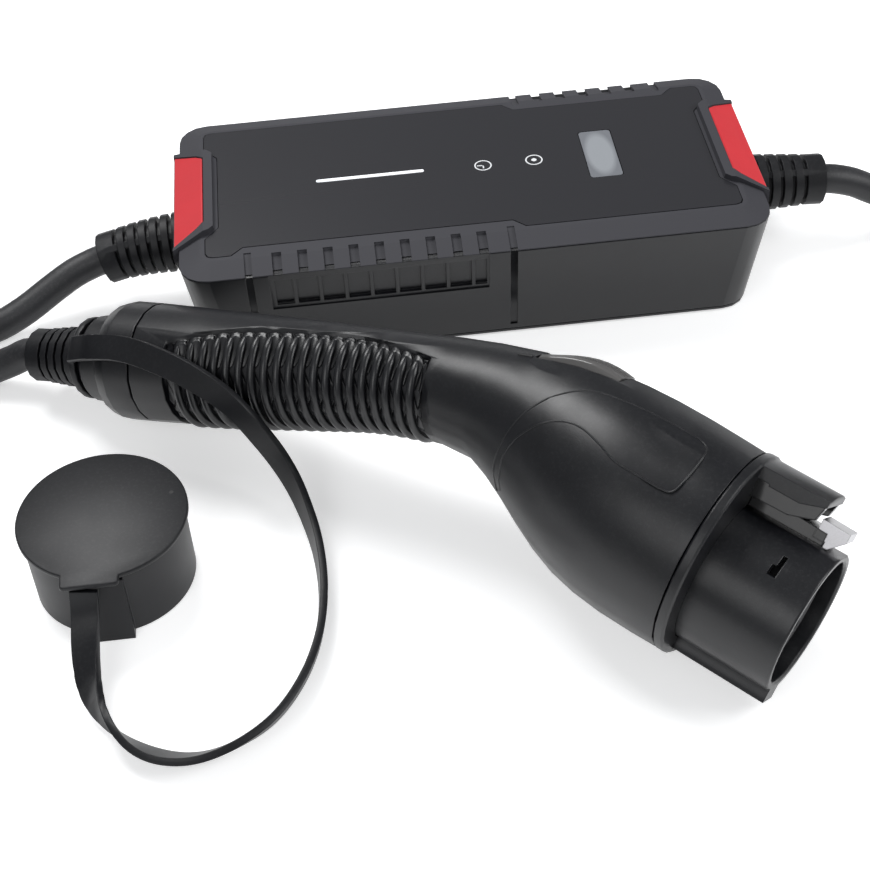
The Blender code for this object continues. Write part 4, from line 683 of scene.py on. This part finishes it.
def round_curve(name, radius, resolution):
    """An empty curve, drawn as a round bar with closed ends. Its radius is in metres."""
    curve = bpy.data.curves.new(name, "CURVE")
    curve.dimensions = "3D"
    curve.bevel_depth = radius
    curve.bevel_resolution = resolution
    curve.use_fill_caps = True
    return curve


def add_line(curve, points):
    """Adds an open line through points in metres, and returns the line's own points."""
    line = curve.splines.new("POLY").points
    line.add(len(points) - 1)
    for slot, point in zip(line, points):
        slot.co = (*point, 1.0)
    return line


def surface_line(name, points, radius, finish, nodes):
    """A thin raised line, each of its points moved to the nearest point of the CAD nodes' faces."""
    bm = bmesh.new()
    for node in nodes:
        bm.from_mesh(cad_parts[node].data)
    tree = BVHTree.FromBMesh(bm)
    bm.free()
    curve = round_curve(name, radius * MM, 2)
    laid = []
    for point in points:
        place, normal, _, _ = tree.find_nearest(point * MM)
        laid.append(place - normal * radius * MM * LINE_SUNK)
    add_line(curve, laid)
    link(name, curve, finish)


def cable(name, points, stands_for):
    """A lead as one open curve through points, which stands in for the CAD nodes that it hides."""
    size = bpy.context.scene.charger_cables
    curve = round_curve(name, size.diameter / 2, 5)
    line = [point * MM for point in points]
    add_line(curve, line)
    obj = link(name, curve, "cable_jacket")
    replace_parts(obj, *stands_for)


def flat_ring(bm, centre, radius, width, low, high):
    """A flat ring between two heights, from a filled circle whose middle is taken out."""
    made = bmesh.ops.create_circle(bm, cap_ends=True, segments=48, radius=radius,
                                   matrix=Matrix.Translation((*centre, low)))
    face = made["verts"][0].link_faces[0]
    bmesh.ops.inset_individual(bm, faces=[face], thickness=width, use_even_offset=True)
    bmesh.ops.delete(bm, geom=[face], context="FACES_ONLY")
    rim = list({f for v in made["verts"] for f in v.link_faces})
    lifted = bmesh.ops.extrude_face_region(bm, geom=rim)
    moved = [v for v in lifted["geom"] if isinstance(v, bmesh.types.BMVert)]
    bmesh.ops.translate(bm, verts=moved, vec=(0, 0, high - low))


def flat_bar(bm, start, end, width, low, high):
    """A flat bar from one point to another, between two heights."""
    start, end = Vector(start), Vector(end)
    along = end - start
    size = Matrix.Diagonal((along.length + width, width, high - low, 1))
    turn = Matrix.Rotation(math.atan2(along.y, along.x), 4, "Z")
    middle = (start + end) / 2
    place = Matrix.Translation((middle.x, middle.y, (low + high) / 2)) @ turn @ size
    bmesh.ops.create_cube(bm, size=1, matrix=place)


class CHARGER_OT_bare_nodes(Operator):
    """Gives each CAD node that stays in view or hidden inside its finish"""

    bl_idname = "charger.bare_nodes"
    bl_label = "Finish the plain nodes"

    def execute(self, context):
        steel = metal("drawn_steel", (0.46, 0.455, 0.47), 0.28)
        brass = metal("turned_brass", (0.72, 0.52, 0.22), 0.22)
        lit = {"display_window": display_glass(), "light_bar": light_diffuser()}
        for name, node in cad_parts.items():
            if name in lit:
                look = lit[name]
            elif name in FINISH_OF:
                look = moulded(FINISH_OF[name])
            elif name.startswith(("contact_", "plug_pin")):
                look = brass
            elif name.startswith(("cover_screw", "latch_", "cable_clamp")):
                look = steel
            else:
                look = moulded("cable_jacket")
            node.data.materials.clear()
            node.data.materials.append(look)
        return {"FINISHED"}


class CHARGER_OT_box(Operator):
    """Dresses the control box: housing, cover, panel and strain reliefs"""

    bl_idname = "charger.box"
    bl_label = "Control box"

    def execute(self, context):
        for node in ("lower_housing", "base_cover", "top_cover", "front_panel", "lead_strain_relief",
                     "mains_strain_relief"):
            skin_of(node)
        return {"FINISHED"}


class CHARGER_OT_connector(Operator):
    """Dresses the connector: handle, grip, collar, guard, nose and its contacts' block"""

    bl_idname = "charger.connector"
    bl_label = "Connector"

    def execute(self, context):
        for node in ("handle_shell_left", "handle_shell_right", "handle_end_cap", "grip_pad", "collar_ring",
                     "connector_sleeve", "contact_block", "cable_nut", "connector_strain_relief"):
            skin_of(node)
        skin_of("thumb_button", LATCH)
        size = context.scene.charger_print
        badge = smooth_curve([to_part(*point) for point in BADGE_LINE], 4)
        surface_line("badge_line", badge, size.seam / MM, "housing_plastic", ("handle_shell_left",))
        surface_line("top_slit", [to_part(*point) for point in TOP_SLIT], TOP_SLIT_RADIUS, "groove_shadow",
                     ("handle_shell_left", "handle_shell_right"))
        self.grip_ribs(size)
        bm = bmesh.new()
        for side in (1, -1):
            skinned(bm, [[to_part(*point, side * span) for point in GUARD_SIDE] for span in GUARD_SIDE_SPAN])
        own_piece("guard_sides", bm, "lever_plastic")
        return {"FINISHED"}

    def grip_ribs(self, size):
        """The grip's raised ribs, each a round bar with tapered ends that wraps the finger side."""
        curve = round_curve("grip_ribs", size.rib_radius, 3)
        rows = [Vector(row) for row in GRIP_STATIONS]
        depth = size.rib_rise / MM - size.rib_radius / MM
        for i in range(GRIP_RIBS):
            blend = GRIP_MARGIN + (1 - 2 * GRIP_MARGIN) * (i + 0.5) / GRIP_RIBS
            place = GRIP_SPAN[0] + (GRIP_SPAN[1] - GRIP_SPAN[0]) * blend
            k = int(place)
            x, y, tilt, high, wide = between(*rows[k - 1:k + 3], place - k)
            step = blend * (len(GRIP_EDGE_ANGLES) - 1)
            k = min(int(step), len(GRIP_EDGE_ANGLES) - 2)
            edge = GRIP_EDGE_ANGLES[k] + (GRIP_EDGE_ANGLES[k + 1] - GRIP_EDGE_ANGLES[k]) * (step - k)
            first = math.radians(edge) + GRIP_EDGE_GAP / high
            lean = math.radians(tilt)
            points = []
            for j in range(RIB_STEPS + 1):
                angle = first + 2 * (math.pi - first) * j / RIB_STEPS
                up, out = (high + depth) * math.cos(angle), (wide + depth) * math.sin(angle)
                points.append(to_part(x - up * math.sin(lean), y + up * math.cos(lean), out) * MM)
            for j, slot in enumerate(add_line(curve, points)):
                slot.radius = min(1.0, RIB_TAPER[0] + RIB_TAPER[1] * min(j, RIB_STEPS - j))
        link("grip_ribs", curve, "grip_rubber")


class CHARGER_OT_dust_cap(Operator):
    """Dresses the dust cap, its lid and its strap"""

    bl_idname = "charger.dust_cap"
    bl_label = "Dust cap"

    def execute(self, context):
        skin_of("cap_strap")
        low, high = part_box("cap_body")
        near, top = low.y / MM, high.z / MM
        bm = bmesh.new()
        turned(bm, [(0, CAP_BORE), (0, CAP_RADIUS - CAP_EDGE), (CAP_EDGE, CAP_RADIUS), (top, CAP_RADIUS),
                    (top, 0)])
        turned(bm, [(top - CAP_ROOF, 0), (top - CAP_ROOF, CAP_BORE), (0, CAP_BORE)])
        bmesh.ops.remove_doubles(bm, verts=bm.verts, dist=1e-6)
        x, root = CAP_CENTRE[0], CAP_CENTRE[1] + WEDGE_ROOT
        right = x + WEDGE_RIGHT
        rings = []
        for left, front, height in ((WEDGE_LEFT[0], near, 0.0), (WEDGE_LEFT[1], near + WEDGE_SLOPE, top)):
            corners = ((x + left, front), (right, front), (right, root), (x + left, root))
            rings.append([(*corner, height) for corner in corners])
        skinned(bm, rings)
        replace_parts(own_piece("cap_body_skin", bm, "cap_rubber"), "cap_body")
        low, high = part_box("cap_lid")
        self.lid(low.y / MM, low.z / MM, high.z / MM)
        return {"FINISHED"}

    def lid(self, near, bottom, top):
        """The lid with its tab, one flat top with a rounded rim, and a moulded dot near its edge."""
        rings = []
        for level, edge in ((bottom, LID_FOOT), (top, LID_RIM)):
            for rise, inset in edge:
                rings.append([(*point, level + rise) for point in lid_outline(inset, near)])
        bm = bmesh.new()
        skinned(bm, rings)
        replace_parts(own_piece("cap_lid_skin", bm, "cap_rubber", 42.0), "cap_lid")
        bm = bmesh.new()
        bmesh.ops.create_circle(bm, cap_ends=True, segments=20, radius=LID_DOT_RADIUS * MM,
                                matrix=Matrix.Translation(Vector((*LID_DOT, top + LID_DOT_RISE)) * MM))
        own_piece("lid_dot", bm, "groove_shadow")


class CHARGER_OT_plug(Operator):
    """Dresses the mains plug"""

    bl_idname = "charger.plug"
    bl_label = "Mains plug"

    def execute(self, context):
        for node in ("plug_body", "plug_strain_relief"):
            skin_of(node)
        return {"FINISHED"}


def led_in(route, *more):
    """A smooth line along a lead's free stretch, from just inside its boot."""
    first = [Vector(p) for p in route]
    inside = first[0] - (first[1] - first[0]).normalized() * LEAD_INSIDE
    return smooth_curve([inside, *first, *more], 3)


def climbing_arc(pivot, radius, start, end, low, high):
    """The points between the ends of an arc that climbs or sinks on its way."""
    steps = [i / 8 for i in range(1, 8)]
    return [orbit(pivot, radius, start + (end - start) * i, low + (high - low) * i) for i in steps]


class CHARGER_OT_charging_lead(Operator):
    """The charging lead, from the box through its stored coil to the connector, and the coil's ties"""

    bl_idname = "charger.charging_lead"
    bl_label = "Charging lead"

    def execute(self, context):
        size = context.scene.charger_cables
        wide, bend = size.diameter / MM, size.bend / MM
        floor = wide / 2 + LEAD_GAP
        # Each end bends between its free stretch and the coil, under the other turns.
        start, last = Vector(BOX_LEAD_ROUTE[-1]), Vector(GUN_LEAD_ROUTE[-1])
        join_pivot = Vector((start.x, start.y + bend, 0))
        leave_pivot = Vector((last.x, last.y - bend, 0))
        join, join_arm = polar(join_pivot, LEAD_COIL_CENTRE)
        leave, leave_arm = polar(leave_pivot, LEAD_COIL_CENTRE)
        points = led_in(BOX_LEAD_ROUTE)
        points += climbing_arc(join_pivot, bend, -90, join - 180, start.z, floor)
        ends = (join, join_arm - bend), (leave, leave_arm - bend)
        points += self.coil(size.points_per_turn, floor, wide, *ends)
        points += climbing_arc(leave_pivot, bend, leave + 180, 90, floor, last.z)
        lean = math.radians(GUN_BOOT_LEAN)
        x, y = GUN_BOOT_ORIGIN
        boot = [to_part(x - far * math.cos(lean), y - far * math.sin(lean), 0) for far in GUN_BOOT_REACHES]
        points += smooth_curve([*(Vector(p) for p in reversed(GUN_LEAD_ROUTE)), *boot], 3)
        cable("charging_lead", points,
              ["lead_tube_box_end", "lead_coil", "lead_tube_gun_end"])
        for i, angle in enumerate(TIE_ANGLES):
            self.tie(f"coil_tie_{i + 1}", angle, wide)
        return {"FINISHED"}

    def coil(self, points_per_turn, floor, wide, join, leave):
        """The turns, from the angle and radius at which the lead joins to those at which it leaves."""
        count = len(LEAD_TURNS)
        end = 360 * count + leave[0]
        steps = round((end - join[0]) / (360 / points_per_turn))
        points = []
        for i in range(steps + 1):
            angle = join[0] + (end - join[0]) * i / steps
            turn = min(int((angle + 180) // 360), count)
            past = (angle + 180) % 360 - 180
            before, after = LEAD_TURNS[max(turn - 1, 0)], LEAD_TURNS[min(turn, count - 1)]
            share = eased((past + LEAD_SHIFT) / (2 * LEAD_SHIFT))
            radius = LEAD_COLUMNS[before[0]] * (1 - share) + LEAD_COLUMNS[after[0]] * share
            layer = before[1] * (1 - share) + after[1] * share + eased((LEAD_HUMP - abs(past)) / LEAD_RAMP)
            if turn == 0:
                layer = LEAD_TURNS[0][1]
                radius = LEAD_COLUMNS[LEAD_TURNS[0][0]]
                radius = join[1] + (radius - join[1]) * eased((angle - join[0]) / LEAD_RAMP)
            if turn == count:
                layer = 0
                radius = LEAD_COLUMNS[LEAD_TURNS[-1][0]]
                radius += (leave[1] - radius) * eased(1 + (angle - end) / LEAD_RAMP)
            points.append(orbit(LEAD_COIL_CENTRE, radius, angle, floor + wide * layer))
        return points

    def tie(self, name, angle, wide):
        """A hook-and-loop band round all the turns at one angle."""
        inner = min(LEAD_COLUMNS) - wide / 2
        outer = max(LEAD_COLUMNS) + wide / 2
        top = 4 * wide
        centre = ((inner + outer) / 2, (top + TIE_THICKNESS) / 2)
        reach = ((outer - inner) / 2, (top - TIE_THICKNESS) / 2)
        rings = []
        for side, grown in ((-1, TIE_THICKNESS), (1, TIE_THICKNESS), (1, 0.0), (-1, 0.0)):
            ring = []
            for i in range(TIE_SIDES):
                turn = 2 * math.pi * i / TIE_SIDES
                across, up = math.cos(turn), math.sin(turn)
                across = math.copysign(abs(across) ** TIE_SQUARENESS, across) * (reach[0] + grown)
                up = math.copysign(abs(up) ** TIE_SQUARENESS, up) * (reach[1] + grown)
                ring.append((centre[0] + across, side * TIE_HALF_WIDTH, centre[1] + up))
            rings.append(ring)
        bm = bmesh.new()
        skinned(bm, rings, hollow=True)
        turn = Matrix.Rotation(math.radians(angle), 4, "Z")
        place = Matrix.Translation(Vector((*LEAD_COIL_CENTRE, 0)) * MM) @ turn
        bmesh.ops.transform(bm, verts=bm.verts, matrix=place)
        own_piece(name, bm, "strap_fabric")


class CHARGER_OT_mains_lead(Operator):
    """The mains lead, from the box through two and a quarter stored turns to the plug"""

    bl_idname = "charger.mains_lead"
    bl_label = "Mains lead"

    def execute(self, context):
        size = context.scene.charger_cables
        wide = size.diameter / MM
        floor = wide / 2 + LEAD_GAP
        points = led_in(MAINS_ROUTE, Vector((*MAINS_COIL_ENTRY, floor)))
        middle, span, dodge = MAINS_DODGE
        for i in range(round(MAINS_TURNS * size.points_per_turn) + 1):
            run = 360 / size.points_per_turn * i
            layer = sum(eased((run - climb) / MAINS_CLIMB_SPAN) for climb in MAINS_CLIMBS)
            radius = MAINS_COIL_RADIUS - dodge * eased(1 - abs(run - middle) / span)
            points.append(orbit(MAINS_COIL_CENTRE, radius, 90 - run, floor + wide * layer))
        # The last stretch runs straight on and down into the plug's boot.
        top, mouth = points[-1], Vector(PLUG_BOOT_MOUTH)
        for i in range(1, 9):
            y = top.y + (mouth.y - top.y) * i / 8
            down = eased((top.y - y) / (top.y - mouth.y - 2))
            points.append(Vector((mouth.x, y, top.z + (mouth.z - top.z) * down)))
        cable("mains_lead", points, ["mains_tube", "mains_coil", "mains_tail"])
        return {"FINISHED"}


class CHARGER_OT_panel_marks(Operator):
    """The marks printed on the front panel: a clock ring and a plain ring with a dot"""

    bl_idname = "charger.panel_marks"
    bl_label = "Panel marks"

    def execute(self, context):
        style = context.scene.charger_print
        radius, line = style.mark_radius, style.line_width
        low, high = ((PANEL_TOP + face) * MM for face in MARK_FACES)
        bm = bmesh.new()
        x, y = CLOCK_MARK
        flat_ring(bm, CLOCK_MARK, radius, line, low, high)
        flat_bar(bm, CLOCK_MARK, (x - CLOCK_HANDS[0] * radius, y), line, low, high)
        flat_bar(bm, CLOCK_MARK, (x, y - CLOCK_HANDS[1] * radius), line, low, high)
        flat_ring(bm, DOT_MARK, radius, line, low, high)
        bmesh.ops.create_circle(bm, cap_ends=True, segments=24, radius=DOT_SHARE * radius,
                                matrix=Matrix.Translation((*DOT_MARK, high)))
        own_piece("panel_marks", bm, "printed_ink")
        return {"FINISHED"}


class CHARGER_OT_stage(Operator):
    """The camera, the pale floor, the lamps and the even light"""

    bl_idname = "charger.stage"
    bl_label = "Stage"

    def execute(self, context):
        scene, studio = context.scene, context.scene.charger_studio
        lens = bpy.data.cameras.new("photo_camera")
        lens.lens = studio.lens
        lens.sensor_width = 36
        lens.clip_start = 0.01
        camera = bpy.data.objects.new("photo_camera", lens)
        aim = Matrix.Rotation(-studio.yaw, 4, "Z") @ Matrix.Rotation(math.pi / 2 - studio.pitch, 4, "X")
        camera.matrix_world = Matrix.Translation(studio.place) @ aim @ Matrix.Rotation(studio.roll, 4, "Z")
        scene.collection.objects.link(camera)
        scene.camera = camera
        self.floor(scene)
        for name, (place, target, size, share) in LAMPS.items():
            lamp = bpy.data.lights.new(name, "AREA")
            lamp.shape = "SQUARE"
            lamp.size = size
            lamp.energy = studio.key * share
            obj = bpy.data.objects.new(name, lamp)
            obj.location = place
            obj.rotation_euler = (Vector(target) - Vector(place)).to_track_quat("-Z", "Y").to_euler()
            scene.collection.objects.link(obj)
        self.surround(scene, studio.fill)
        scene.view_settings.view_transform = "Standard"
        return {"FINISHED"}

    def floor(self, scene):
        """A pale floor that glows a little where the camera sees it, straight or mirrored."""
        bm = bmesh.new()
        bmesh.ops.create_grid(bm, x_segments=2, y_segments=2, size=8.0)
        mesh = bpy.data.meshes.new("studio_floor")
        bm.to_mesh(mesh)
        bm.free()
        floor = bpy.data.objects.new("studio_floor", mesh)
        floor.location.z = -0.0002
        scene.collection.objects.link(floor)
        paper, tree, shader = blank_finish("floor_paper")
        seen = tree.add("LightPath").outputs
        direct = tree.calculate("MAXIMUM", seen["Is Camera Ray"], seen["Is Glossy Ray"])
        tree.feed(shader, {
            "Base Color": (0.88, 0.885, 0.89, 1), "Roughness": 0.9, "Specular IOR Level": 0.1,
            "Emission Color": (1, 1, 1, 1),
            "Emission Strength": tree.calculate("MULTIPLY", direct, FLOOR_GLOW)})
        mesh.materials.append(paper)

    def surround(self, scene, fill):
        """An even light all round, which the camera sees as white."""
        world = bpy.data.worlds.new("studio_surround")
        scene.world = world
        world.use_nodes = True
        tree = Tree(world.node_tree)
        seen = tree.add("LightPath").outputs["Is Camera Ray"]
        pick = tree.add("Mix", {"Factor": seen, "A": fill, "B": 1.0})
        tree.feed(world.node_tree.nodes["Background"], {
            "Color": (0.95, 0.97, 1.0, 1), "Strength": pick.outputs["Result"]})


class CHARGER_PT_sidebar(Panel):
    """Lists the charger's operators and values"""

    bl_label = "Charger"
    bl_space_type = "VIEW_3D"
    bl_region_type = "UI"
    bl_category = "Charger"

    def draw(self, context):
        for group in GROUPS:
            values = getattr(context.scene, group)
            column = self.layout.column()
            for name in values.bl_rna.properties.keys():
                if name not in ("rna_type", "name"):
                    column.prop(values, name)
        for operator in OPERATORS:
            self.layout.operator(operator.bl_idname)


GROUPS = {"charger_finish": ChargerFinish, "charger_cables": ChargerCables, "charger_print": ChargerPrint,
          "charger_studio": ChargerStudio}
OPERATORS = (
    CHARGER_OT_stage, CHARGER_OT_bare_nodes, CHARGER_OT_box, CHARGER_OT_connector, CHARGER_OT_dust_cap,
    CHARGER_OT_plug, CHARGER_OT_charging_lead, CHARGER_OT_mains_lead, CHARGER_OT_panel_marks,
)


def register():
    for cls in (*GROUPS.values(), *OPERATORS, CHARGER_PT_sidebar):
        bpy.utils.register_class(cls)
    for name, cls in GROUPS.items():
        setattr(bpy.types.Scene, name, PointerProperty(type=cls))


def unregister():
    for name in GROUPS:
        delattr(bpy.types.Scene, name)
    for cls in reversed((*GROUPS.values(), *OPERATORS, CHARGER_PT_sidebar)):
        bpy.utils.unregister_class(cls)


def main():
    register()
    for operator in OPERATORS:
        area, action = operator.bl_idname.split(".")
        getattr(getattr(bpy.ops, area), action)()


if __name__ == "__main__":
    main()
